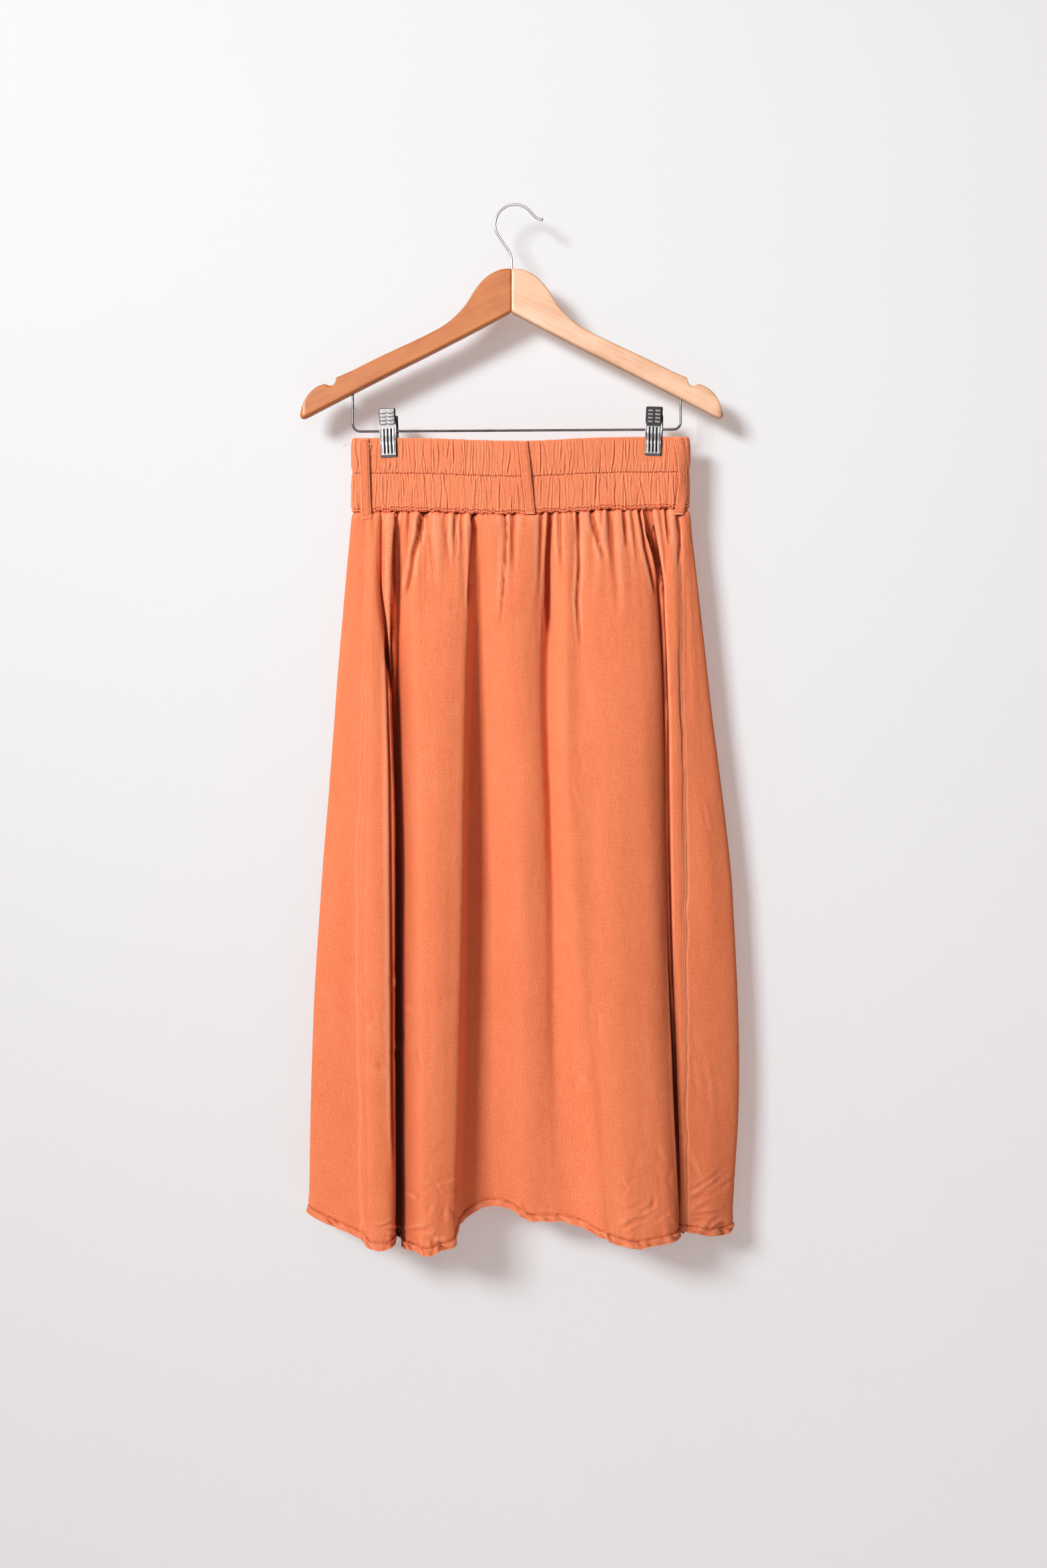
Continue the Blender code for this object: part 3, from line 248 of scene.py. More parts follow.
# The mounds between the gathers: height and base in millimetres, and how far down they fade
MOUND_HEIGHT = 3.8
MOUND_BASE = 0.9
MOUND_END = 50 * MM
HIDDEN_GATHER_LENGTHS = (40, 70, 110, 160)
SHORT_GATHERS = 230
HEM_STITCH_PITCH = 2.6 * MM
HEM_STITCH_LENGTH = 1.7 * MM
HEM_STITCH_RADIUS = 0.26 * MM
THREAD_PITCH = 0.55 * MM

# The waistband and belt loops
# How far the middle stitches lie below the top edge
MID_DROP = 37.0 * MM
BAND_COLUMN = 0.55 * MM
BAND_ROWS = 98
CHANNEL_END_X = 167.5 * MM
BAND_FULLNESS = 1.25
BAND_SEAM_ROUND = 0.9 * MM
BAND_STITCH_PITCH = 2.5 * MM
BAND_STITCH_LENGTH = 1.6 * MM
STITCH_RADIUS = 0.2 * MM
BeltLoop = namedtuple("BeltLoop", "name top_x middle_x bottom_x above_band below_seam twist")
BELT_LOOPS = (
    BeltLoop("belt_loop_left", -158.5, -157, -155.5, -1.5, 7.5, 0.0),
    BeltLoop("belt_loop_centre", 7.5, 11.5, 15.4, -1, 0.5, 0.0),
    BeltLoop("belt_loop_right", 169, 174.5, 170, -1, 6.5, 0.45),
)
BELT_LOOP_WIDTH = 10 * MM
BELT_LOOP_BOW = 1.3 * MM
LOOP_WALL = 1.7 * MM
# Length of a belt loop and how far its bar tacks lie from its ends, in millimetres
BELT_LOOP_LENGTH = 84
BELT_LOOP_TACK = 2.2

# Loose threads: points of (distance to the right, height), and the thread's radius, in millimetres
LOOSE_THREADS = (
    (((-172.9, -252.1), (-176, -251.6), (-179, -252.6), (-181, -255.2)), 0.22),
    (((-154.5, -251.6), (-152.6, -250.2), (-151.2, -252.2), (-152.6, -254.6), (-154.9, -253.4),
      (-154.2, -251.2), (-151.6, -251.8), (-152.2, -255.4), (-153.6, -256.6)), 0.38),
    (((178, -244.6), (180.6, -243.8), (181.4, -246.4)), 0.2),
    (((176.6, -249), (179.2, -251), (178, -253.6), (180.4, -255.2)), 0.24),
)

# The hanger. Arm points are (distance from the mitre, height) in millimetres.
ArmPoint = namedtuple("ArmPoint", "out z")


def arm_points(*pairs):
    return tuple(ArmPoint(*pair) for pair in pairs)


ARM_TOP = arm_points(
    (0, -66.5), (11, -67.5), (23, -73), (33, -82), (41, -93), (48.5, -105), (58, -115.5),
    (70, -125.5), (85, -134), (104.5, -143.5), (124, -152.5), (147, -163.5), (167, -173.5),
    (183, -180.5),
)
ARM_NOTCH = arm_points(
    (183, -180.5), (183.6, -181.8), (184.4, -185), (187, -188.5), (191, -189), (194.3, -187.4),
    (196.5, -187.4),
)
ARM_END = arm_points(
    (196.5, -187.4), (204, -190.5), (211.5, -197), (217.5, -206.5), (220.6, -215), (221.3, -219),
)
ARM_BOTTOM = arm_points(
    (0, -112), (40, -133), (80, -153.5), (120, -173.5), (165, -196.5), (197, -213), (217.5, -222.9),
    (220.6, -222.2), (221.3, -219.4),
)
ARM_THICKNESS = 12 * MM
ARM_ROUNDING = 3 * MM
MITRE_X = -4.3 * MM
HOOK_WIRE_RADIUS = 1.3 * MM
HOOK_RADIUS = 21 * MM
HOOK_TIP_RADIUS = 2.0 * MM
HOOK_CENTRE = Vector((-0.5, 0, -19.7)) * MM
HOOK_NECK = ((-4.3, -56), (-5.0, -52), (-6.6, -48), (-9.3, -44))
HOOK_TIP = ((20.6, -11.6), (23.4, -13.6), (26.8, -14.5))
HOOK_ARC_START = 218
HOOK_ARC_END = 33
BAR_WIRE_RADIUS = 1.25 * MM
BAR_BEND_RADIUS = 7.5 * MM
BAR_INSERTION = 8 * MM
# Distances from the mitre in millimetres: the arm's tip, where its end starts to thin, and where its
# sections start to lie close
ARM_LENGTH = 221.3
ARM_ROUND_END = 214.0
ARM_FINE_FROM = 181

# The clips
Clip = namedtuple("Clip", "name x tilt_degrees")
CLIPS = (Clip("clip_left", -133.4, -2.7), Clip("clip_right", 144.1, 1.8))
CLIP_WIDTH = 17.4 * MM
CLIP_ABOVE_BAR = 22.5 * MM
CLIP_BELOW_BAR = 28.5 * MM
CLIP_PLATE = 1.2 * MM
CLIP_HALF_OPENING = 5.4 * MM
SPRING_RADIUS = 3.5 * MM
SPRING_WIDTH = 11 * MM
REAR_JAW_DROP = 5 * MM
REAR_JAW_INSET = 1.4 * MM
TAB_LEAN = 3.2 * MM
REAR_SHIFT = 2.4 * MM
FLUTE_SPACING = 3.7 * MM
FLUTE_TOP = 2.0 * MM
FLUTE_BOTTOM = -25.2 * MM
RIB_TOP = 18.2 * MM
RIB_SPACING = 3.7 * MM
RIB_OFFSET = 3.8 * MM
CLIP_CORNER = 1.2 * MM
# The outline of a clip's ears, as distance forward of the bar and height above it, in millimetres
FLANGE_OUTLINE = (
    (4.4, 7.5), (1.9, 5.0), (1.55, 2.2), (1.55, -2.2), (1.9, -5.5), (4.4, -9.5), (5.6, -9.5), (5.6, 7.5),
)
COIL_TURNS = 9.5
COIL_WIRE = 0.5 * MM
FLUTES = 4
RIB_ROWS = 4
# How dark each clip looks between its ribs, from what it reflects
CLIP_GLOOM = (0.1, 0.9)

SIDES = ("shown", "hidden")

# The room
WALL_Y = 32 * MM
FLOOR_Z = -1.46
WALL_TOP = 3
ROOM_REACH = 4

# Colours of painted shade: the cloth in its creases and deep gaps, metal in its grooves and shaded faces
LINEN_SHADE = (0.42, 0.062, 0.017)
LINEN_HOLLOW = (0.03, 0.005, 0.001)
METAL_PAINTED_SHADE = (0.012, 0.012, 0.014)


def smooth_step(low, high, value):
    t = np.clip((value - low) / (high - low), 0, 1)
    return t * t * (3 - 2 * t)


def bell(value, width):
    return np.exp(-((value / width) ** 2))


def soft_noise(u, v, seed):
    """Smooth noise from -1 to 1. One cell is one unit of u and v."""
    size = 97
    table = np.random.default_rng(seed).uniform(-1, 1, (size, size))
    u, v = np.broadcast_arrays(np.asarray(u, float), np.asarray(v, float))
    cell_u, cell_v = np.floor(u).astype(int), np.floor(v).astype(int)
    t, s = u - cell_u, v - cell_v
    t = t**3 * (t * (t * 6 - 15) + 10)
    s = s**3 * (s * (s * 6 - 15) + 10)
    a, b = cell_u % size, (cell_u + 1) % size
    c, d = cell_v % size, (cell_v + 1) % size
    low = table[a, c] * (1 - t) + table[b, c] * t
    high = table[a, d] * (1 - t) + table[b, d] * t
    return low * (1 - s) + high * s


def fractal(u, v, seed, octaves=3):
    total, weight = 0, 1
    for octave in range(octaves):
        turn = 0.5 + octave
        across = u * math.cos(turn * 0.15) + v * math.sin(turn * 0.15)
        down = v * math.cos(turn * 0.15) - u * math.sin(turn * 0.15)
        total = total + weight * soft_noise(across * 2**octave, down * 2**octave, seed + octave)
        weight *= 0.5
    return total


def blur(field, size):
    """The field averaged over size cells each way."""
    for axis in (0, 1):
        padded = np.pad(field, [(size, size) if axis == k else (0, 0) for k in (0, 1)], mode="edge")
        sums = np.cumsum(padded, axis=axis)
        width = 2 * size
        if axis == 0:
            field = (sums[width:] - sums[:-width]) / width
            field = field[: padded.shape[0] - width]
        else:
            field = (sums[:, width:] - sums[:, :-width]) / width
            field = field[:, : padded.shape[1] - width]
    return field


def path_distance(points):
    """How far along the path each of its points lies."""
    return np.concatenate([[0], np.cumsum(np.linalg.norm(np.diff(points, axis=0), axis=1))])


def along_path(where, distance, table):
    """The path's points at the given distances along it."""
    return np.stack([np.interp(where, distance, table[:, k]) for k in range(3)], axis=1)


def sag(x):
    return np.exp(-((x / SAG_WIDTH) ** 2))


def band_top_z(x):
    return BAND_TOP_Z + BAND_TOP_SLOPE * x - BAND_TOP_SAG * sag(x)


def waist_seam_z(x):
    return WAIST_SEAM_Z + WAIST_SEAM_SLOPE * x - WAIST_SEAM_SAG * sag(x)


def waist_half_depth(x):
    """Distance of either side of the waist from the middle plane y = 0."""
    left_x, right_x = (clip.x * MM for clip in CLIPS)
    middle = (left_x + right_x) / 2
    reach = (x - middle) / (right_x - middle)
    return PINCHED_WAIST + WAIST_OPENING * np.maximum(0, 1 - reach * reach) ** 1.5


def clip_press(x):
    nearest = np.minimum(abs(x - CLIPS[0].x * MM), abs(x - CLIPS[1].x * MM))
    return np.exp(-((nearest / CLIP_PRESS_WIDTH) ** 4))


# The skirt

def along_levels(values, shares):
    """Values (lines by levels) at each share: a smooth curve that never swings past them."""
    steps = np.diff(LEVELS)
    rates = np.diff(values, axis=1) / steps
    before, after = rates[:, :-1], rates[:, 1:]
    product = before * after
    middle = np.where(product > 0, 2 * product / np.where(product > 0, before + after, 1), 0)
    slopes = np.concatenate([rates[:, :1], middle, rates[:, -1:]], axis=1)
    index = np.clip(np.searchsorted(LEVELS, shares, side="right") - 1, 0, len(LEVELS) - 2)
    step = steps[index]
    t = (shares - LEVELS[index]) / step
    start = (2 * t**3 - 3 * t**2 + 1) * values[:, index] + (t**3 - 2 * t**2 + t) * step * slopes[:, index]
    end = (3 * t**2 - 2 * t**3) * values[:, index + 1] + (t**3 - t**2) * step * slopes[:, index + 1]
    return (start + end).T


def fold_points(shares):
    """Where each fold line is at each share, as shares by lines by 3.

    Just below the seam the cloth springs out faster than the fold table says.
    """
    across = np.array([[l.seam_x, l.hip_x, l.thigh_x, l.knee_x, l.shin_x, l.hem_x] for l in FOLD_LINES]) * MM
    seam_x = across[:, 0]
    seam_y = np.array([line.side for line in FOLD_LINES]) * waist_half_depth(seam_x)
    deep = np.array([[0, l.hip_y, l.thigh_y, l.knee_y, l.shin_y, l.hem_y] for l in FOLD_LINES]) * MM
    deep[:, 0] = seam_y
    x = along_levels(across, shares)
    y = along_levels(deep, shares)
    drop = shares[:, None] * SKIRT_LENGTH
    spring = SHOULDER * (1 - np.exp(-drop / SHOULDER_REACH)) * np.exp(-drop / SHOULDER_END)
    y = y + (deep[:, 1] - seam_y)[None, :] * spring
    seam_z = waist_seam_z(seam_x) - GAP / 2
    z = seam_z + (np.array([line.hem_z for line in FOLD_LINES]) * MM - seam_z) * shares[:, None]
    return np.stack([x, y, z], axis=2)


def round_curve(before, start, end, after, t):
    """Points between start and end on the centripetal curve through all four, for every row."""
    def knot(previous, a, b):
        return previous + np.maximum(np.linalg.norm(b - a, axis=1), 1e-6) ** 0.5

    k0 = np.zeros(len(start))
    k1 = knot(k0, before, start)
    k2 = knot(k1, start, end)
    k3 = knot(k2, end, after)
    k = k1[:, None] + (k2 - k1)[:, None] * t[None, :]

    def blend(a, b, low, high):
        share = ((k - low[:, None]) / (high - low)[:, None])[:, :, None]
        return a * (1 - share) + b * share

    a1 = blend(before[:, None], start[:, None], k0, k1)
    a2 = blend(start[:, None], end[:, None], k1, k2)
    a3 = blend(end[:, None], after[:, None], k2, k3)
    b1 = blend(a1, a2, k0, k2)
    b2 = blend(a2, a3, k1, k3)
    return blend(b1, b2, k1, k2)


def column_counts():
    """How many columns each stretch between fold lines takes, even in all on each panel."""
    corners = fold_points(np.array([0.0, KNEE_SHARE]))
    lengths = np.linalg.norm(np.roll(corners, -1, axis=1) - corners, axis=2).max(axis=0)
    names = [line.name for line in FOLD_LINES]
    right = names.index("right_seam")
    counts = []
    for index, length in enumerate(lengths):
        spacing = SHOWN_SPACING if index < right else HIDDEN_SPACING
        if names[index] in ("right_seam", "right_strip", "left_side", "left_strip"):
            spacing = (SHOWN_SPACING + HIDDEN_SPACING) / 2
        counts.append(max(2, round(length / spacing)))
    counts[right - 2] += sum(counts[:right]) % 2
    counts[-6] += sum(counts[right:]) % 2
    return counts, sum(counts[:right])


def skirt_shares():
    """The rows of the skirt: close together at the gathers and at the hem."""
    drops = [0.0]
    while drops[-1] < SKIRT_LENGTH - HEM_ZONE:
        drops.append(drops[-1] + 1.2 * MM + 4.0 * MM * float(smooth_step(20 * MM, 220 * MM, drops[-1])))
    drops = list(np.array(drops) * (SKIRT_LENGTH - HEM_ZONE) / drops[-1])
    drops += [SKIRT_LENGTH - HEM_ZONE + HEM_ZONE * (k + 1) / HEM_ROWS for k in range(HEM_ROWS)]
    if len(drops) % 2 == 0:
        drops.insert(1, drops[1] / 2)
    return np.array(drops) / SKIRT_LENGTH


def ring_normals(points):
    """Outward normals of a closed ring of columns."""
    along = np.roll(points, -1, axis=1) - np.roll(points, 1, axis=1)
    down = np.gradient(points, axis=0)
    normal = np.cross(down, along)
    return normal / np.maximum(np.linalg.norm(normal, axis=2, keepdims=True), 1e-12)


def seen_from_front(points):
    """Where the points appear on the plane y = 0 from the camera, as distance right and drop."""
    factor = VIEW_DISTANCE / (VIEW_DISTANCE + points[..., 1])
    x = VIEW_X + (points[..., 0] - VIEW_X) * factor
    z = VIEW_Z + (points[..., 2] - VIEW_Z) * factor
    return x, -z


def crease_field(creases, across, drop, station, deep):
    """Height of the cloth over its plain form where the creases run."""
    field = np.zeros_like(across)
    for crease in creases:
        track = np.array(crease.track) * MM
        start, end = track[0, 1], track[-1, 1]
        xs = np.interp(drop, track[:, 1], track[:, 0])
        along = np.clip((drop - start) / (end - start), 0, 1)
        gone = 1 - smooth_step(crease.hold, 1.0, along)
        at_seam = start < SEAM_CREASE_DROP
        begun = 1.0 if at_seam else smooth_step(0, 0.3, along)
        ends = []
        for row in (np.abs(drop.mean(axis=1) - start).argmin(), np.abs(drop.mean(axis=1) - end).argmin()):
            x_here = np.interp(drop[row].mean(), track[:, 1], track[:, 0])
            near = np.abs(across[row] - x_here)
            near = near + np.where(near < 6 * MM, deep[row] * 0.5, 1.0)
            ends.append(station[near.argmin()])
        column = ends[0] + (ends[1] - ends[0]) * along
        mask = np.exp(-(((station[None, :] - column) / CREASE_COLUMNS) ** 4))
        mask = mask * gone * begun
        delta = across - xs
        left, right = 1.2 * crease.left * MM, 1.25 * crease.right * MM
        trough = np.where(delta < 0, bell(delta, left), bell(delta, right))
        lips = crease.lip_left * bell(delta + 2.0 * left, left * 1.1)
        lips = lips + crease.lip_right * bell(delta - 2.0 * right, right * 1.1)
        deeper = 1.5 + (1.3 * np.exp(-(drop - start) / (28 * MM)) if at_seam else 0)
        field += (lips - deeper * crease.depth * trough) * MM * mask
    return field


def gather_field(station, drop, ends, count, seed):
    """Short gathers that fan down from the waist seam."""
    random = np.random.default_rng(seed)
    field = np.zeros((len(drop), len(station)))
    for _ in range(count):
        place = random.uniform(*ends)
        length = random.choice((5, 9, 16, 30, 52), p=(0.34, 0.28, 0.2, 0.12, 0.06)) * MM
        length = length * random.uniform(0.7, 1.3)
        depth = random.uniform(0.25, 0.8) * MM * min(1.6, (length / (9 * MM)) ** 0.35)
        width = random.uniform(0.6, 1.3) * MM * (1.0 + length / (60 * MM))
        drift = random.uniform(-0.12, 0.12)
        delta = station[None, :] - place - drift * drop[:, None]
        spread = width * (1 + drop[:, None] / length)
        fade = np.exp(-drop[:, None] / length)
        field -= depth * bell(delta, spread) * fade
        side = random.choice((-1, 1))
        field += 0.35 * depth * bell(delta - side * 1.9 * spread, spread) * fade
    return field


def crumple_field(crumples, across, drop, seed):
    """Short wrinkles scattered in the crumpled places."""
    random = np.random.default_rng(seed)
    field = np.zeros_like(across)
    for crumple in crumples:
        for _ in range(crumple.count):
            x = (crumple.x + crumple.reach_x * random.normal() * 0.6) * MM
            z = (crumple.drop + crumple.reach_z * random.normal() * 0.6) * MM
            angle = random.normal() * 0.55 + random.choice((0.35, 1.25, -0.4, -1.2))
            if crumple.slope is not None:
                angle = 0.2 * random.normal() + crumple.slope
            half = crumple.length * random.uniform(0.5, 1.4) * MM / 2
            depth = crumple.depth * random.uniform(0.6, 1.8) * MM
            width = random.uniform(1.4, 3.2) * MM
            bow = random.uniform(-0.25, 0.25)
            near = (np.abs(across - x) < half * 2) & (np.abs(drop - z) < half * 2)
            if not near.any():
                continue
            dx, dz = across[near] - x, drop[near] - z
            along = (dx * math.sin(angle) + dz * math.cos(angle)) / half
            aside = dx * math.cos(angle) - dz * math.sin(angle) + bow * half * along**2
            shape = np.exp(-(along**4)) * (0.7 * bell(aside - 1.7 * width, width) - bell(aside, width))
            field[near] += depth * shape
    return field


def cloth_mesh(name, outer, normal, wall, wear, uv, material, step=2):
    """A thin wall of cloth: a fine outer grid, and an inner one with a point for every second one of it."""
    rows, columns = outer.shape[:2]
    inner = (outer - normal * wall[:, None, None])[::step, ::step]
    inner_rows, inner_columns = inner.shape[:2]
    first = rows * columns
    grid = np.arange(first).reshape(rows, columns)
    under = first + np.arange(inner_rows * inner_columns).reshape(inner_rows, inner_columns)
    faces = quads(grid)
    faces += [face[::-1] for face in quads(under)]
    for outside, inside, turned in (
        (grid[0], under[0], False), (grid[-1], under[-1], True),
        (grid[:, 0], under[:, 0], True), (grid[:, -1], under[:, -1], False),
    ):
        for k in range(len(inside) - 1):
            face = [int(i) for i in (*outside[2 * k: 2 * k + 3], inside[k + 1], inside[k])]
            faces.append(face if turned else face[::-1])
    points = np.concatenate([outer.reshape(-1, 3), inner.reshape(-1, 3)])
    # These values hold rubbing above 0 and painted shade below 0
    worn = np.concatenate([wear.ravel(), wear[::step, ::step].ravel()])
    places = np.concatenate([uv.reshape(-1, 2), uv[::step, ::step].reshape(-1, 2)])
    return make_piece(name, points, faces, material, worn, places)


def quads(grid):
    corners = np.stack([grid[:-1, :-1], grid[1:, :-1], grid[1:, 1:], grid[:-1, 1:]], axis=-1)
    return corners.reshape(-1, 4).tolist()


def make_piece(name, points, faces, material, wear=None, uv=None, smooth=True):
    mesh = bpy.data.meshes.new(name)
    mesh.from_pydata(np.asarray(points).tolist(), [], faces)
    mesh.update()
    if smooth:
        mesh.shade_smooth()
    # The attribute holds rubbing above 0 and painted shade below 0
    if wear is not None:
        mesh.attributes.new("wear", "FLOAT", "POINT").data.foreach_set("value", np.asarray(wear, np.float32))
    if uv is not None:
        layer = mesh.uv_layers.new(name="cloth")
        corner = np.zeros(len(mesh.loops), np.int32)
        mesh.loops.foreach_get("vertex_index", corner)
        layer.data.foreach_set("uv", np.asarray(uv, np.float32)[corner].ravel())
    mesh.materials.append(material)
    made = bpy.data.objects.new(name, mesh)
    bpy.context.scene.collection.objects.link(made)
    return made


def stitches(name, starts, ends, normals, radius, material):
    """A row of threads, each from one point to the next, sunk into the cloth at both ends."""
    sides, rings = 6, (0.0, 0.16, 0.5, 0.84, 1.0)
    lifts = np.array((-0.8, 0.5, 0.9, 0.5, -0.8)) * radius
    widths = np.array((0.6, 1.0, 1.0, 1.0, 0.6)) * radius
    along = ends - starts
    along = along / np.linalg.norm(along, axis=1, keepdims=True)
    across = np.cross(along, normals)
    across = across / np.linalg.norm(across, axis=1, keepdims=True)
    up = np.cross(across, along)
    turns = np.arange(sides) * 2 * math.pi / sides
    circle = across[:, None, :] * np.cos(turns)[None, :, None] + up[:, None, :] * np.sin(turns)[None, :, None]
    points = []
    for share, lift, width in zip(rings, lifts, widths):
        centre = starts + (ends - starts) * share + up * lift
        points.append(centre[:, None, :] + circle * width)
    points = np.stack(points, axis=1)
    count = len(starts)
    index = np.arange(count * len(rings) * sides).reshape(count, len(rings), sides)
    faces = []
    for stitch in index:
        for ring in range(len(rings) - 1):
            for side in range(sides):
                after = (side + 1) % sides
                low, high = stitch[ring], stitch[ring + 1]
                faces.append([int(i) for i in (low[side], high[side], high[after], low[after])])
        faces.append([int(i) for i in stitch[0]])
        faces.append([int(i) for i in stitch[-1][::-1]])
    return make_piece(name, points.reshape(-1, 3), faces, material)


def stitch_line(name, path, normals, pitch, length, radius, material, seed=0):
    """Stitches of one length along a line of surface points."""
    distance = path_distance(path)
    random = np.random.default_rng(seed)
    places = np.arange(pitch, distance[-1] - pitch, pitch)
    places = places + random.uniform(-0.12, 0.12, len(places)) * pitch
    starts, ends = (along_path(places + shift, distance, path) for shift in (-length / 2, length / 2))
    facing = along_path(places, distance, normals)
    facing = facing / np.linalg.norm(facing, axis=1, keepdims=True)
    return stitches(name, starts, ends, facing, radius, material)


def valley_shade(shares):
    """How dark the painted shade is in the gaps between folds, for every row and column."""
    counts, _ = column_counts()
    starts = dict(zip((line.name for line in FOLD_LINES), np.cumsum([0] + counts)))
    places = [starts[name] for name, *_ in VALLEY_SHADES]
    columns = np.arange(sum(counts))
    high, low = (np.interp(columns, places, [row[k] for row in VALLEY_SHADES]) for k in (1, 2))
    share = smooth_step(0.10, 0.30, shares)[:, None]
    return (high * (1 - share) + low * share) * smooth_step(0.0, 0.03, shares)[:, None]


def skirt_ring():
    shares = skirt_shares()
    counts, seam_column = column_counts()
    corners = fold_points(shares)
    parts = []
    for index, count in enumerate(counts):
        four = [corners[:, (index + shift) % len(FOLD_LINES)] for shift in (-1, 0, 1, 2)]
        parts.append(round_curve(*four, np.arange(count) / count))
    return shares, np.concatenate(parts, axis=1), seam_column


def ring_distance(ring):
    """How far along a closed ring of points each of them lies, and the length of each step."""
    steps = np.linalg.norm(np.diff(np.concatenate([ring, ring[:1]]), axis=0), axis=1)
    return np.concatenate([[0], np.cumsum(steps)])[:-1], steps


def mound_stops(last):
    """Where the mounds between the gathers meet, right round the waist seam."""
    at_seam = (crease.track[0] for crease in SHOWN_CREASES)
    starts = sorted(x * MM for x, drop in at_seam if drop * MM < SEAM_CREASE_DROP)
    stops = [LEFT_SEAM_X] + starts + [RIGHT_SEAM_X]
    random = np.random.default_rng(5)
    place = RIGHT_SEAM_X
    while place < last:
        stops.append(place)
        place += random.uniform(9, 30) * MM
    stops.append(last + 3 * MM)
    return np.array(stops)


def mound_field(stops, station, down):
    """The mounds between the gathers, which swell out just below the seam."""
    index = np.clip(np.searchsorted(stops, station, side="right") - 1, 0, len(stops) - 2)
    width = np.maximum(stops[index + 1] - stops[index], 1e-6)
    t = np.clip((station - stops[index]) / width, 0, 1)
    mound = np.sqrt(np.clip(4 * t * (1 - t), 0, 1)) * np.minimum(1, width / (14 * MM))
    swell = (1 - np.exp(-down / (3.5 * MM))) * np.exp(-down / MOUND_END)
    return (MOUND_HEIGHT * mound[None, :] - MOUND_BASE) * MM * swell


def add_hidden_gathers(field, stops, station, down):
    """Gathers of the hidden side, made up in the manner of the shown ones."""
    random = np.random.default_rng(11)
    for stop in stops[(stops > RIGHT_SEAM_X + 12 * MM) & (stops < station[-1] - 4 * MM)]:
        length = random.choice(HIDDEN_GATHER_LENGTHS) * random.uniform(0.8, 1.2) * MM
        drift = random.uniform(-0.12, 0.12)
        depth = random.uniform(1.2, 2.8) * MM
        left, right = random.uniform(1.1, 1.8) * MM, random.uniform(1.4, 4.2) * MM
        delta = station[None, :] - stop - drift * down * 0.4
        fade = 1 - smooth_step(0.3 * length, length, down)
        trough = np.where(delta < 0, bell(delta, left), bell(delta, right))
        lips = 0.4 * MM * bell(delta + 2 * left, left)
        field += (lips - depth * trough) * fade


def skirt_rubbing_and_shade(crisp, points, up, down, rope, in_hem, beside_seams, shown, shares):
    """Pale where the cloth is rubbed, above 0, and painted shade where it lies deep or in shadow, below 0."""
    raised = crisp - blur(crisp, 4)
    hollow = blur(crisp, 7) - crisp
    wear = np.clip(raised / (0.5 * MM) - 0.25, 0, 1) * 0.4
    wear = np.maximum(wear, 0.15 * bell(up, 1.1 * MM))
    # Painted shade in the creases and hollows
    wear = wear - 0.4 * np.clip(hollow / (1.1 * MM) - 0.2, 0, 1)
    # Painted shade in the deep gaps between folds
    wear = wear - valley_shade(shares)
    # Slightly paler rope ridges in the hem, and painted shade in its rope grooves
    wear = wear + in_hem * (0.05 * np.clip(rope, 0, 1) - 0.25 * np.clip(-rope, 0, 1))
    # Painted shade along the top of the hem's fold
    wear = wear - 0.22 * bell(up - HEM_DEPTH - 0.8 * MM, 0.9 * MM)
    # Painted shadow round the lower ends of the belt loops
    for loop in BELT_LOOPS:
        aside = np.abs(points[:, :, 0] - loop.bottom_x * MM) - BELT_LOOP_WIDTH / 2
        under = down - loop.below_seam * MM
        outline = np.maximum(aside, under)
        wear = wear - 0.35 * bell(outline - 0.4 * MM, 0.8 * MM) * shown[None, :]
    for near in beside_seams.values():
        wear = wear + 0.3 * bell(near - 1.6 * MM, 1.2 * MM)
    return np.clip(wear, -1, 1)


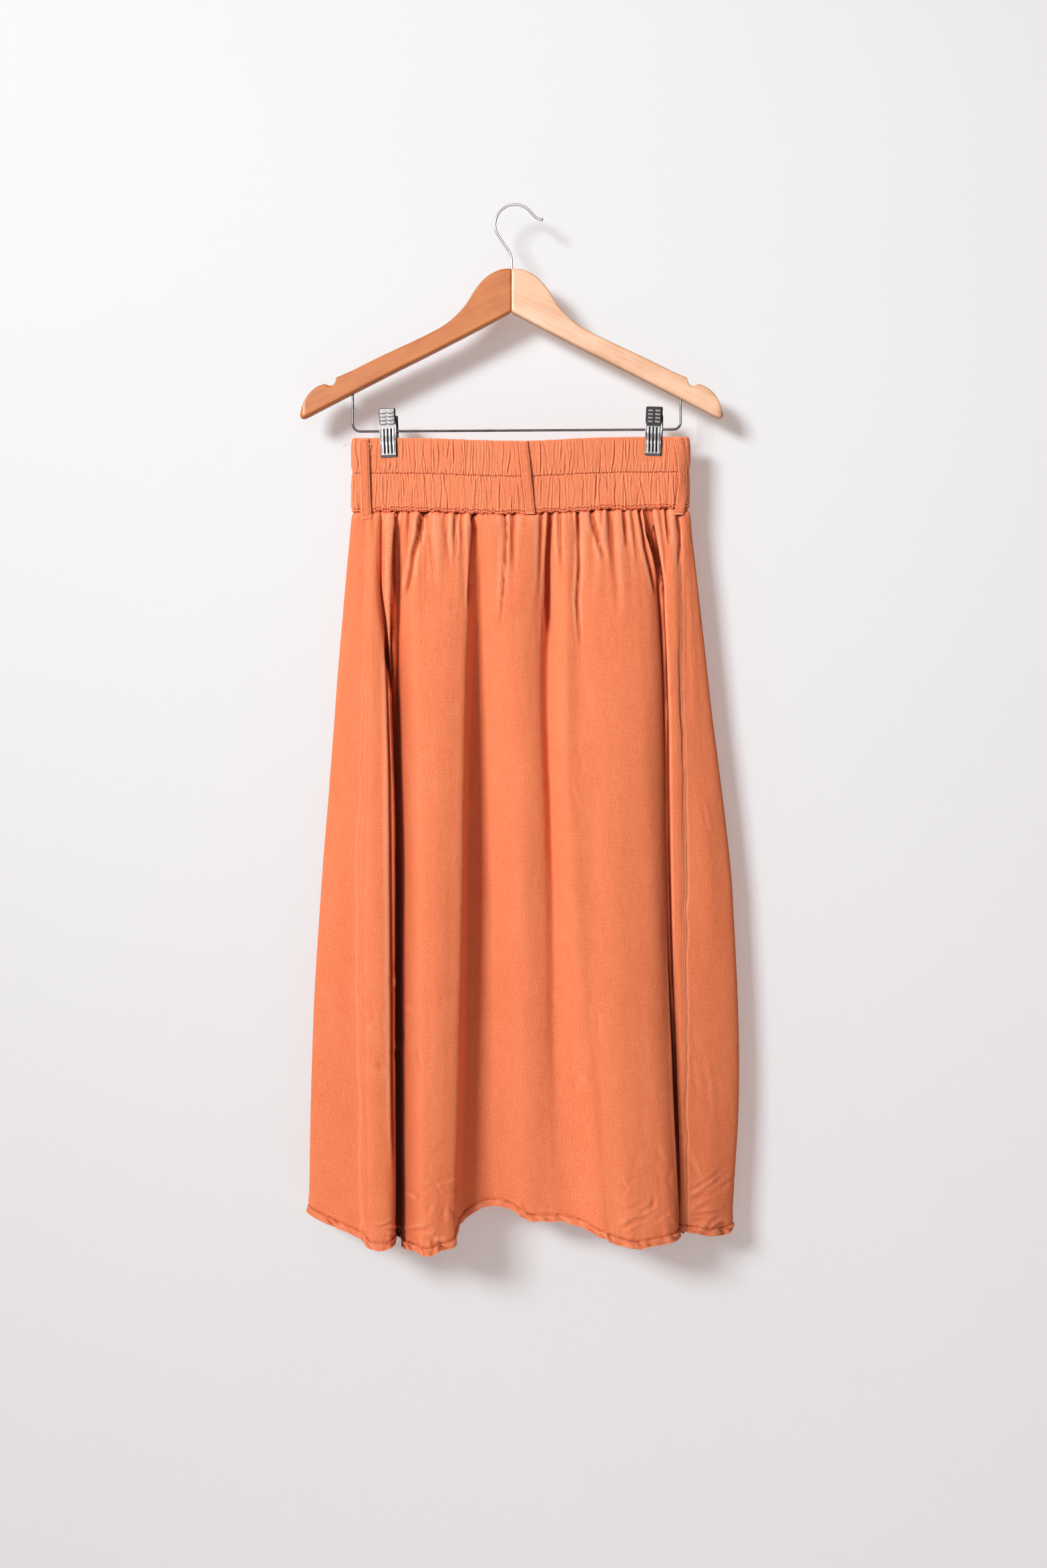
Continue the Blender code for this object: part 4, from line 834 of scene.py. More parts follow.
def build_skirt(linen, thread):
    shares, points, seam_column = skirt_ring()
    drop_rows = shares * SKIRT_LENGTH
    columns = points.shape[1]
    station = ring_distance(points[0])[0] + LEFT_SEAM_X
    cloth_u, lengths = ring_distance(points[np.abs(shares - KNEE_SHARE).argmin()])
    shown = np.arange(columns) <= seam_column
    hidden = ~shown
    across, drop = seen_from_front(points)
    down = drop_rows[:, None]
    u = cloth_u[None, :]
    up = SKIRT_LENGTH - down
    beside_seams = {}
    for place in (0, seam_column):
        near = np.abs(u - cloth_u[place])
        beside_seams[place] = np.minimum(near, cloth_u[-1] - near)

    field = np.zeros(points.shape[:2])
    field[:, shown] += crease_field(
        SHOWN_CREASES, across[:, shown], drop[:, shown], station[shown], points[:, shown, 1]
    )
    stops = mound_stops(station[-1])
    field += mound_field(stops, station, down)
    field -= 1.3 * MM * np.exp(-down / (1.3 * MM))
    add_hidden_gathers(field, stops, station, down)
    field += gather_field(station, drop_rows, (LEFT_SEAM_X, station[-1]), SHORT_GATHERS, 21)
    crisp = field.copy()
    # Soft unevenness of hanging linen, long down the cloth and short across it
    settled = smooth_step(5 * MM, 90 * MM, down)
    field += 1.0 * MM * settled * fractal(u / (36 * MM), down / (230 * MM), 31, 2)
    field += 0.24 * MM * settled * fractal(u / (14 * MM), down / (70 * MM), 41)
    field += 0.06 * MM * fractal(u / (5 * MM), down / (8 * MM), 61, 2)
    crumpled = np.zeros_like(field)
    crumpled[:, shown] = crumple_field(SHOWN_CRUMPLES, across[:, shown], drop[:, shown], 71)
    crumpled[:, hidden] = crumple_field(HIDDEN_CRUMPLES, points[:, hidden, 0], -points[:, hidden, 2], 73)
    field += crumpled
    crisp += 0.6 * crumpled
    # The hem: turned twice, stitched, and roped and puckered by its stitches
    in_hem = smooth_step(HEM_DEPTH + 1.0 * MM, HEM_DEPTH - 0.4 * MM, up)
    rope = soft_noise((u + 1.1 * up) / (4.6 * MM), up / (9 * MM), 81)
    pucker = soft_noise(u / (5.5 * MM), up * 0, 82) + 0.5 * soft_noise(u / (13 * MM), up * 0, 86)
    hem = in_hem * (1.2 * MM * rope + 0.6 * MM * pucker)
    hem -= 1.3 * MM * bell(up - HEM_DEPTH - 0.4 * MM, 1.0 * MM)
    field += hem + in_hem * 1.0 * MM + 0.7 * MM * pucker * bell(up - HEM_DEPTH - 4 * MM, 5 * MM)
    crisp += 0.7 * hem
    field += 1.2 * MM * soft_noise(u / (23 * MM), up * 0, 83) * np.exp(-up / (24 * MM))
    # The side seams draw in along their stitches
    for place, near in beside_seams.items():
        field -= 0.9 * MM * bell(near, 1.3 * MM)
        field += 0.25 * MM * soft_noise(down / (9 * MM), near * 0, 91 + place) * bell(near, 6 * MM)
    points = points + ring_normals(points) * field[:, :, None]
    for place, near in beside_seams.items():
        sway = 1.3 * soft_noise(down / (26 * MM), near * 0, 95 + place)
        sway = sway + 0.6 * soft_noise(down / (9 * MM), near * 0, 97 + place)
        points[:, :, 0] += sway * MM * settled * bell(near, 7 * MM)
    edge_wave = 1.0 * MM * soft_noise(u / (9 * MM), up * 0, 84)
    edge_wave = edge_wave + 1.3 * MM * soft_noise(u / (27 * MM), up * 0, 85)
    points[:, :, 2] += edge_wave * np.exp(-up / (16 * MM))
    # The top edge is tucked up inside the waistband
    points[:, :, 2] += 1.5 * MM * np.exp(-down / (1.2 * MM))
    normal = ring_normals(points)
    wear = skirt_rubbing_and_shade(crisp, points, up, down, rope, in_hem, beside_seams, shown, shares)
    wall = CLOTH_WALL + 0.9 * MM * in_hem[:, 0]
    uv = np.stack([np.broadcast_to(u, field.shape), -np.broadcast_to(down, field.shape)], axis=2)

    made = {}
    row = int(np.abs(up[:, 0] - HEM_DEPTH + 0.9 * MM).argmin())
    hidden_columns = list(range(seam_column, columns)) + [0]
    for name, chosen in (("skirt_shown", list(range(seam_column + 1))), ("skirt_hidden", hidden_columns)):
        part_uv = uv[:, chosen].copy()
        if name == "skirt_hidden":
            part_uv[:, -1, 0] = cloth_u[-1] + lengths[-1]
        made[name] = cloth_mesh(
            name, points[:, chosen], normal[:, chosen], wall, wear[:, chosen], part_uv, linen
        )
        made[name + "_hem_stitches"] = stitch_line(
            name + "_hem_stitches", points[row, chosen], normal[row, chosen],
            HEM_STITCH_PITCH, HEM_STITCH_LENGTH, HEM_STITCH_RADIUS, thread, seed=7,
        )
    return made


# The waistband

def waist_loop(distance):
    """Points and outward directions on the flat loop of the waist, and its whole length.

    Distance runs from the left end along the shown side, round the right end and back.
    """
    cap = PINCHED_WAIST
    straight = RIGHT_END_X - LEFT_END_X - 2 * cap
    turn = math.pi * cap
    whole = 2 * straight + 2 * turn
    distance = np.mod(distance, whole)
    shown_x = LEFT_END_X + cap + distance
    hidden_x = RIGHT_END_X - cap - (distance - straight - turn)
    right_angle = (distance - straight) / cap - math.pi / 2
    left_angle = (distance - 2 * straight - turn) / cap + math.pi / 2
    parts = [distance <= straight, distance <= straight + turn, distance <= 2 * straight + turn]
    x = np.select(parts, [shown_x, RIGHT_END_X - cap + cap * np.cos(right_angle), hidden_x],
                  LEFT_END_X + cap + cap * np.cos(left_angle))
    y = np.select(parts, [-waist_half_depth(shown_x), cap * np.sin(right_angle), waist_half_depth(hidden_x)],
                  cap * np.sin(left_angle))
    out_x = np.select(parts, [0 * x, np.cos(right_angle), 0 * x], np.cos(left_angle))
    out_y = np.select(parts, [0 * x - 1, np.sin(right_angle), 0 * x + 1], np.sin(left_angle))
    return x, y, out_x, out_y, whole


def fold_edge(delta, width):
    """A small fold over its neighbour: a rounded lip, a narrow slot and a slow rise."""
    rise = np.where(delta > 0, np.exp(-np.maximum(delta, 0) / (2.4 * width)), 0)
    return 0.4 * bell(delta + 1.5 * width, width) - bell(delta, 0.7 * width) - 0.3 * rise


def band_field(distance, height, full_height, seed):
    """Height of the gathered cloth over the plain band.

    The height given runs from 0 at the top edge to 1 at the seam.
    """
    random = np.random.default_rng(seed)
    drop = height * full_height
    field = np.zeros(np.broadcast(distance, height).shape)
    start, finish = distance.min(), distance.max()
    for low, high in ((0.0, MID_DROP), (MID_DROP, full_height)):
        inside = (drop >= low - 0.4 * MM) & (drop <= high + 0.4 * MM)
        share = np.clip((drop - low) / (high - low), 0, 1)
        field = field + np.where(inside, 0.8 * MM * (1 - (2 * share - 1) ** 4), 0)
        place = start + random.uniform(1, 4) * MM
        while place < finish:
            top = random.choice((0.0, 0.0, 0.0, random.uniform(0.1, 0.5)))
            bottom = random.choice((1.0, 1.0, 1.0, random.uniform(0.5, 0.9)))
            if top > 0 and bottom < 1:
                top = 0.0
            depth = random.uniform(0.4, 1.15) * MM
            width = random.uniform(0.5, 0.85) * MM
            slant = random.normal() * 2.0 * MM
            sway = random.uniform(0.5, 1.9) * MM
            phase = random.uniform(0, 60)
            side = random.choice((-1, 1, 1))
            path = place + slant * (share - 0.5) + sway * soft_noise(share * 2.1 + phase, share * 0, seed + 3)
            delta = (distance - path) * side
            ends = smooth_step(top - 0.1, top + 0.2, share)
            ends = ends * (1 - smooth_step(bottom - 0.2, bottom + 0.1, share))
            near = np.abs(delta) < 9 * MM
            field = field + np.where(inside & near, depth * fold_edge(delta, width) * ends, 0)
            spacings = [random.uniform(*limits) for limits in ((1.8, 3.4), (3.4, 6), (5.5, 10))]
            place += random.choice(spacings) * MM
        for edge, reach in ((low, 1), (high, -1)):
            if low == 0.0 and edge == low:
                continue
            place = start
            while place < finish:
                long = random.uniform(4, 12) * MM
                depth = random.uniform(0.5, 1.2) * MM
                width = random.uniform(0.5, 0.75) * MM
                slant = random.normal() * 0.14
                away = (drop - edge) * reach
                delta = distance - place - slant * away
                fade = np.clip(1 - away / long, 0, 1) ** 0.7
                side = random.choice((-1, 1))
                near = (np.abs(delta) < 4 * MM) & inside & (away < long)
                shape = 0.5 * bell(delta - side * 1.6 * width, width) - bell(delta, 0.8 * width)
                field = field + np.where(near, depth * shape * fade, 0)
                place += random.uniform(1.3, 3.2) * MM
    field = field + 0.35 * MM * fractal(distance / (8 * MM), drop / (18 * MM), seed + 5)
    field = field + 0.07 * MM * fractal(distance / (2.5 * MM), drop / (3 * MM), seed + 6, 2)
    waver = 0.35 * MM * soft_noise(distance / (5 * MM), drop * 0, seed + 7)
    field = field - 0.9 * MM * bell(drop - MID_DROP - waver, 0.7 * MM)
    # The waist seam: a wavy puckered roll of cloth under a dark line
    curl = 1.2 * MM * soft_noise(distance / (3.2 * MM), drop * 0, seed + 8)
    curl = curl + 0.5 * MM * soft_noise(distance / (7.5 * MM), drop * 0, seed + 9)
    above = full_height - drop
    field = field - 1.2 * MM * bell(above - 3.4 * MM - curl, 0.6 * MM)
    return field + 1.3 * MM * bell(above - 1.9 * MM - 0.9 * curl, 0.8 * MM)


def band_rows(half, heights):
    """Rows round the band's section: over the top, down the outside, under and up the inside.

    Each has its edge, how far out it lies, its drop and how much of the gathers it takes.
    """
    def top_turn(angles):
        return [("top", math.cos(a) * half, (1 - math.sin(a)) * half, max(0.0, math.cos(a))) for a in angles]

    rows = top_turn(np.radians(np.linspace(90, 0, 6))[:-1])
    rows += [("side", half, height, 1.0) for height in heights]
    turns = np.radians(np.linspace(0, -180, 8))[1:]
    rows += [("seam", math.cos(a) * half, math.sin(a), max(0.0, math.cos(a))) for a in turns]
    rows += [("side", -half, height, 0.0) for height in np.linspace(1, 0, 14)[1:]]
    return rows + top_turn(np.radians(np.linspace(180, 90, 6))[1:-1])


def build_bands(linen, groove_shaded_thread):
    cap = PINCHED_WAIST
    left_seam = LEFT_SEAM_X - LEFT_END_X - cap
    right_seam = RIGHT_SEAM_X - LEFT_END_X - cap
    whole = waist_loop(np.zeros(1))[-1]
    made = {}
    for name, start, end, seed in (
        ("waistband_shown", left_seam, right_seam, 101),
        ("waistband_hidden", right_seam, whole + left_seam, 202),
    ):
        count = int(round((end - start) / BAND_COLUMN))
        distance = np.linspace(start + 0.1 * MM, end - 0.1 * MM, count + 1)[None, :]
        x, y, out_x, out_y, *_ = waist_loop(distance)
        top = band_top_z(x)
        bottom = waist_seam_z(x) + 0.1 * MM
        full = top - bottom
        half = BAND_WALL / 2
        # The rows lie closer at the middle stitches and at the waist seam
        even = np.linspace(0, 1, 400)
        middle = (MID_DROP - half) / float(full.mean() - half)
        crowd = 1 + 1.6 * bell(even - middle, 0.04) + 1.8 * smooth_step(0.90, 0.95, even)
        crowd = np.concatenate([[0], np.cumsum((crowd[1:] + crowd[:-1]) / 2)])
        heights = np.interp(np.linspace(0, crowd[-1], BAND_ROWS), crowd, even)
        outs, drops, weights = [], [], []
        for edge, out, drop, weight in band_rows(half, heights):
            if edge == "side":
                drops.append(half + (full - half - BAND_SEAM_ROUND) * drop)
            elif edge == "top":
                drops.append(np.broadcast_to(drop, full.shape))
            else:
                drops.append(full - BAND_SEAM_ROUND - drop * BAND_SEAM_ROUND)
            outs.append(out)
            weights.append(weight)
        drops = np.concatenate(drops, axis=0)
        outs = np.array(outs)[:, None]
        weights = np.array(weights)[:, None]
        field = band_field(distance, drops / full, full, seed)
        pressed = clip_press(x) * (drops < 26 * MM)
        field = field * (1 - 0.75 * pressed)
        under_loop = np.zeros_like(x)
        if name == "waistband_shown":
            for loop in BELT_LOOPS:
                under_loop = np.maximum(under_loop, np.exp(-(((x - loop.middle_x * MM) / (8 * MM)) ** 6)))
            seam_end = bell(x - CHANNEL_END_X, 0.7 * MM) * (drops > MID_DROP + 3 * MM)
            field = field - 0.8 * MM * seam_end
        field = np.where(field > 0.1 * MM, 0.1 * MM + (field - 0.1 * MM) * (1 - 0.9 * under_loop), field)
        field = field * weights
        above = full - drops
        field = field - 0.6 * MM * smooth_step(5.0 * MM, 0.6 * MM, above) * weights
        # Both ends of the waist have small scallops
        rim = np.abs(out_x) ** 2
        scallops = soft_noise(drops / (7 * MM), distance * 0, seed + 12)
        field = field + 0.55 * MM * rim * scallops * (weights > 0)
        offset = outs + field
        edge = np.clip(field[6:7], -0.8 * MM, 0.3 * MM)
        lift = 0.9 * edge * np.exp(-drops / (2.2 * MM))
        ripple = 1.1 * MM * soft_noise(distance / (3.2 * MM), 0 * drops, seed + 8)
        ripple = ripple + 0.6 * MM * soft_noise(distance / (11 * MM), 0 * drops, seed + 22)
        lift = lift + ripple * np.exp(-np.maximum(above, 0) / (2.6 * MM))
        points = np.stack([x + out_x * offset, y + out_y * offset, top - drops + lift], axis=2)
        wear = np.clip((field - blur(field, 4)) / (0.45 * MM) - 0.25, 0, 1) * 0.5
        wear = np.maximum(wear, 0.3 * bell(drops - 0.2 * MM, 1.0 * MM))
        # Painted shade in the band's creases and slots
        wear = 0.08 + wear - 0.42 * np.clip((blur(field, 5) - field) / (0.8 * MM) - 0.25, 0, 1)
        if name == "waistband_shown":
            # Painted shadow on the band beside the edges of each belt loop
            for loop in BELT_LOOPS:
                share = np.clip(drops / full, 0, 1)
                middle = loop.top_x + (loop.bottom_x - loop.top_x) * share
                middle = middle + (loop.middle_x - (loop.top_x + loop.bottom_x) / 2) * 4 * share * (1 - share)
                wear = wear - 0.5 * bell(np.abs(x - middle * MM) - 5.4 * MM, 0.8 * MM)
        wear = wear * (weights > 0)
        girth = path_distance(points[:, count // 2])
        u = np.broadcast_to(distance * BAND_FULLNESS, field.shape)
        uv = np.stack([u, np.broadcast_to(-girth[:, None], field.shape)], axis=2)
        made[name] = tube_mesh(name.replace("waistband", "band"), points, wear, uv, linen)
        normal = np.stack([out_x + 0 * x, out_y + 0 * x, 0 * x], axis=2)[0]
        row = int(np.abs(drops[:BAND_ROWS, count // 2] - MID_DROP).argmin())
        made[name + "_stitches"] = stitch_line(
            name + "_stitches", points[row], normal,
            BAND_STITCH_PITCH, BAND_STITCH_LENGTH, STITCH_RADIUS, groove_shaded_thread, seed=seed,
        )
    return made


def tube_mesh(name, points, wear, uv, material):
    """A closed piece from rings of points: rows go round it, columns along it."""
    rows, columns = points.shape[:2]
    grid = np.arange(rows * columns).reshape(rows, columns)
    faces = quads(np.concatenate([grid, grid[:1]], axis=0))
    faces.append(grid[:, 0][::-1].tolist())
    faces.append(grid[:, -1].tolist())
    return make_piece(name, points.reshape(-1, 3), faces, material, wear.ravel(), uv.reshape(-1, 2))


def build_loops(linen, thread):
    made = {}
    for seed, loop in enumerate(BELT_LOOPS):
        rows, columns = 100, 21
        share = np.linspace(0, 1, rows)[:, None]
        bend = 4 * share * (1 - share)
        across = np.linspace(-1, 1, columns)[None, :]
        bow_x = loop.middle_x - (loop.top_x + loop.bottom_x) / 2
        middle = (loop.top_x + (loop.bottom_x - loop.top_x) * share + bow_x * bend) * MM
        top = band_top_z(middle) + loop.above_band * MM
        bottom = waist_seam_z(middle) - loop.below_seam * MM
        z = top + (bottom - top) * share + 0 * across
        y = -waist_half_depth(middle) - BAND_WALL / 2 - GAP - BELT_LOOP_BOW * bend
        twist = loop.twist * bend * np.sin(math.pi * share)
        half = BELT_LOOP_WIDTH / 2 * (1 + 0.03 * soft_noise(share * 9, share * 0, seed + 301))
        x = middle + across * half * np.cos(twist)
        lean = across * half * np.sin(twist)
        rounding = 1 - np.sqrt(np.clip(1 - np.clip((np.abs(across) - 0.88) / 0.12, 0, 1) ** 2, 0, 1))
        edge_stitch = bell(np.abs(across) * 5 * MM - 3.7 * MM, 0.5 * MM)
        from_ends = (share * BELT_LOOP_LENGTH, (1 - share) * BELT_LOOP_LENGTH)
        tack = sum(bell(away - BELT_LOOP_TACK, 1.1) for away in from_ends)
        relief = 0.16 * MM * fractal(across * 1.2 + 7, share * 14, seed + 311)
        relief = relief - 0.5 * MM * edge_stitch - 0.4 * MM * tack + 0.3 * MM * (1 - across**2)
        relief = relief + 0.12 * MM * soft_noise(across * 4, share * 40, seed + 315)
        front_y = y - LOOP_WALL * (1 - 0.75 * rounding) - relief * (1 - rounding) + lean
        clear_y = -waist_half_depth(middle) - BAND_WALL / 2 - 0.1 * MM
        front = np.stack([x, front_y, z], axis=2)
        back = np.stack([x, np.minimum(y + lean, clear_y), z], axis=2)
        ring = np.concatenate([front, back[:, ::-1]], axis=1).transpose(1, 0, 2)
        # Pale rubbed rims, and painted shade along the sunk stitch rows
        rim = bell(1 - np.abs(across), 0.16) + 0 * share
        rim = np.maximum(rim, bell(np.minimum(share, 1 - share), 0.012))
        rim = rim - 0.7 * edge_stitch * (np.abs(across) < 0.9) * (1 - rim)
        # The strap's back face is painted near black, as painted shade
        wear = np.concatenate([rim, np.full((rows, columns), -1.0)], axis=1).T
        u = np.concatenate([across * 5 * MM, across * 5 * MM + 12 * MM], axis=1) + 0 * share
        uv = np.stack([u, -share * BELT_LOOP_LENGTH * MM + 0 * u], axis=2).transpose(1, 0, 2)
        made[loop.name] = tube_mesh(loop.name + "_strap", ring[::-1], wear[::-1], uv[::-1], linen)
        lines = []
        for side in (-1, 1):
            column = int(round((side * 0.74 + 1) / 2 * (columns - 1)))
            path = front[3:-3, column] + np.array((0, -0.05 * MM, 0))
            lines.append(path)
        for end in (BELT_LOOP_TACK / BELT_LOOP_LENGTH, 1 - BELT_LOOP_TACK / BELT_LOOP_LENGTH):
            row = int(round(end * (rows - 1)))
            lines.append(front[row, 2:-2] + np.array((0, -0.05 * MM, 0)))
        starts, ends = [], []
        for number, path in enumerate(lines):
            distance = path_distance(path)
            pitch = (2.3 if number < 2 else 0.62) * MM
            size = (1.6 if number < 2 else 0.5) * MM
            places = np.arange(pitch / 2, distance[-1], pitch)
            for where, store in ((places - size / 2, starts), (places + size / 2, ends)):
                store.append(along_path(where, distance, path))
        starts, ends = np.concatenate(starts), np.concatenate(ends)
        facing = np.tile(np.array((0.0, -1.0, 0.0)), (len(starts), 1))
        made[loop.name + "_stitches"] = stitches(
            loop.name + "_stitches", starts, ends, facing, STITCH_RADIUS, thread
        )
    return made


def build_loose_threads(thread):
    pieces = []
    for path, radius in LOOSE_THREADS:
        flat = np.array(path) * MM
        depth = -waist_half_depth(flat[:, 0]) - BAND_WALL / 2 - 1.2 * MM
        curve = flowing_curve(np.stack([flat[:, 0], depth, flat[:, 1]], axis=1), 5)
        pieces.append(wire_mesh("loose_threads", curve, radius * MM, thread, 6))
    return join_meshes(pieces[0], pieces[1:])


# The hanger

def flowing_curve(points, steps):
    """The points joined by a smooth curve through all of them."""
    points = np.asarray(points, float)
    padded = np.concatenate([[2 * points[0] - points[1]], points, [2 * points[-1] - points[-2]]])
    out = []
    for k in range(len(points) - 1):
        four = [padded[k + shift][None, :] for shift in range(4)]
        out.append(round_curve(*four, np.arange(steps) / steps)[0])
    return np.concatenate([*out, points[-1:]])


def arm_edges(outs):
    """Height of the arm's upper and lower edge at each distance from the mitre."""
    upper = np.concatenate([
        flowing_curve(ARM_TOP, 12)[:-1], flowing_curve(ARM_NOTCH, 10)[:-1], flowing_curve(ARM_END, 12),
    ])
    lower = flowing_curve(ARM_BOTTOM, 12)
    upper[:, 0] = np.maximum.accumulate(upper[:, 0])
    lower[:, 0] = np.maximum.accumulate(lower[:, 0])
    return np.interp(outs, upper[:, 0], upper[:, 1]), np.interp(outs, lower[:, 0], lower[:, 1])


def rounded_section(half_width, half_height, radius, steps=6):
    """A rectangle with rounded corners, as sideways and upward shares, from the middle of the top."""
    points = []
    for centre_side, centre_up, first in ((1, 1, 90), (1, -1, 0), (-1, -1, -90), (-1, 1, -180)):
        for k in range(steps + 1):
            angle = math.radians(first - 90 * k / steps)
            points.append((centre_side * (half_width - radius) + radius * math.cos(angle),
                           centre_up * (half_height - radius) + radius * math.sin(angle)))
        side, up = points[-1]
        if first in (90, -90):
            reach = half_height - radius
            points += [(side, up * share) for share in (0.9, 0.3, -0.3, -0.9)] if reach > 0 else []
    return points


def build_arm(name, side, wood):
    outs = [0.0]
    while outs[-1] < ARM_LENGTH:
        close = 0.45 if outs[-1] > ARM_FINE_FROM else 2.0
        outs.append(min(outs[-1] + close, ARM_LENGTH))
    outs = np.array(outs[:-1] + [221.0, ARM_LENGTH])
    upper, lower = arm_edges(outs)
    rings = []
    for out, high, low in zip(outs, upper, lower):
        half_height = max((high - low) / 2 * MM, 0.25 * MM)
        near_end = max(0.0, (out - ARM_ROUND_END) / 7.3)
        half_width = ARM_THICKNESS / 2 * math.sqrt(max(0.06, 1 - 0.94 * near_end**2.4))
        near_mitre = max(0.0, 1 - out / 0.8)
        radius = min(ARM_ROUNDING, half_height * 0.95, half_width * 0.95)
        half_width -= 0.25 * MM * near_mitre
        half_height -= 0.25 * MM * near_mitre
        middle = (high + low) / 2 * MM
        x = MITRE_X + side * max(out * MM, GAP / 2)
        section = rounded_section(half_width, half_height, radius)
        rings.append([(x, across, middle + up) for across, up in section])
    rings = np.array(rings).transpose(1, 0, 2)
    slope = math.atan2(107, 221)
    along = (rings[..., 0] - MITRE_X) * side * math.cos(slope) - rings[..., 2] * math.sin(slope)
    height = (rings[..., 0] - MITRE_X) * side * math.sin(slope) + rings[..., 2] * math.cos(slope)
    uv = np.stack([along, height], axis=2)
    if side > 0:
        rings, uv = rings[::-1], uv[::-1]
    return tube_mesh(name, rings, np.zeros(rings.shape[:2]), uv, wood)


def sweep(points, radii, sides):
    """Rings of a round wire along the points, as sides by points by 3."""
    points = np.asarray(points, float)
    radii = np.broadcast_to(radii, (len(points),))
    tangent = np.gradient(points, axis=0)
    tangent /= np.linalg.norm(tangent, axis=1, keepdims=True)
    first = Vector((0, 1, 0)) if abs(tangent[0][1]) < 0.9 else Vector((1, 0, 0))
    across = np.array(first.cross(Vector(tangent[0])).normalized())
    frames = []
    for direction in tangent:
        across = across - direction * np.dot(across, direction)
        across = across / np.linalg.norm(across)
        frames.append((across, np.cross(direction, across)))
    turns = np.arange(sides) * 2 * math.pi / sides
    rings = [
        point + radius * (np.cos(turns)[:, None] * a + np.sin(turns)[:, None] * b)
        for point, radius, (a, b) in zip(points, radii, frames)
    ]
    return np.stack(rings, axis=1)


def wire_mesh(name, points, radii, material, sides=20):
    rings = sweep(points, radii, sides)
    distance = path_distance(points)
    uv = np.stack(np.broadcast_arrays(distance[None, :], np.linspace(0, 8 * MM, sides)[:, None]), axis=2)
    return tube_mesh(name, rings, np.zeros(rings.shape[:2]), uv, material)


def ball_end(points, radii, ball):
    """The wire with a ball on its end, as more points and radii."""
    end, before = points[-1], points[-2]
    direction = (end - before) / np.linalg.norm(end - before)
    wire = radii[-1]
    angles = np.linspace(math.asin(wire / ball), math.pi - 0.08, 14)
    more = [end + direction * (-math.cos(a) * ball + ball * 0.1) for a in angles]
    keep = [i for i, p in enumerate(points) if np.dot(more[0] - p, direction) > 0.1 * MM]
    points = np.concatenate([points[keep], more])
    radii = np.concatenate([np.asarray(radii)[keep], [ball * math.sin(a) for a in angles]])
    return points, radii


def build_hook(chrome):
    arm_top = ARM_TOP[0].z
    line = [(MITRE_X / MM, arm_top - 15), (MITRE_X / MM, arm_top - 5), (MITRE_X / MM, arm_top + 4)]
    line += list(HOOK_NECK)
    for degrees in np.linspace(HOOK_ARC_START, HOOK_ARC_END, 12):
        angle = math.radians(degrees)
        line.append((HOOK_CENTRE.x / MM + HOOK_RADIUS / MM * math.cos(angle),
                     HOOK_CENTRE.z / MM + HOOK_RADIUS / MM * math.sin(angle)))
    line += list(HOOK_TIP)
    flat = flowing_curve(line, 9) * MM
    points = np.stack([flat[:, 0], np.zeros(len(flat)), flat[:, 1]], axis=1)
    points, radii = ball_end(points, np.full(len(points), HOOK_WIRE_RADIUS), HOOK_TIP_RADIUS)
    return wire_mesh("hook_wire", points, radii, chrome, 24)


def bar_z(x):
    share = (x - BAR_LEFT.x) / (BAR_RIGHT.x - BAR_LEFT.x)
    return BAR_LEFT.z + (BAR_RIGHT.z - BAR_LEFT.z) * share


def build_bar(steel):
    def leg_top(x):
        return arm_edges(np.array([abs(x - MITRE_X) / MM]))[1][0] * MM + BAR_INSERTION

    line = [(BAR_LEFT.x, leg_top(BAR_LEFT.x))]
    corners = (
        (BAR_LEFT + Vector((BAR_BEND_RADIUS, 0, BAR_BEND_RADIUS)), 180),
        (BAR_RIGHT + Vector((-BAR_BEND_RADIUS, 0, BAR_BEND_RADIUS)), 270),
    )
    for centre, first in corners:
        for degrees in np.linspace(first, first + 90, 12):
            angle = math.radians(degrees)
            line.append((centre.x + math.cos(angle) * BAR_BEND_RADIUS,
                         centre.z + math.sin(angle) * BAR_BEND_RADIUS))
    line.append((BAR_RIGHT.x, leg_top(BAR_RIGHT.x)))
    flat = np.array(line)
    distance = path_distance(flat)
    where = np.unique(np.concatenate([distance, np.linspace(0, distance[-1], 90)]))
    x, z = (np.interp(where, distance, flat[:, k]) for k in (0, 1))
    points = np.stack([x, 0 * x, z], axis=1)
    return wire_mesh("bar_wire", points, BAR_WIRE_RADIUS, steel, 20)


# The clips

def jaw_depth(z, top):
    """Distance of a jaw's outer face from the bar at a height above the bar."""
    at_bar = SPRING_RADIUS + GAP + CLIP_PLATE
    at_cloth = CLIP_HALF_OPENING + CLIP_PLATE
    heights = np.array([-CLIP_BELOW_BAR, -14 * MM, -4 * MM, 3 * MM, top])
    depths = np.array([at_cloth, at_cloth + 0.6 * MM, at_bar, at_bar, at_bar + TAB_LEAN])
    fine = np.linspace(-CLIP_BELOW_BAR, top, 200)
    rough = np.interp(fine, heights, depths)
    padded = np.pad(rough, 9, mode="edge")
    soft = np.convolve(padded, np.ones(19) / 19, mode="valid")
    return np.interp(z, fine, soft)


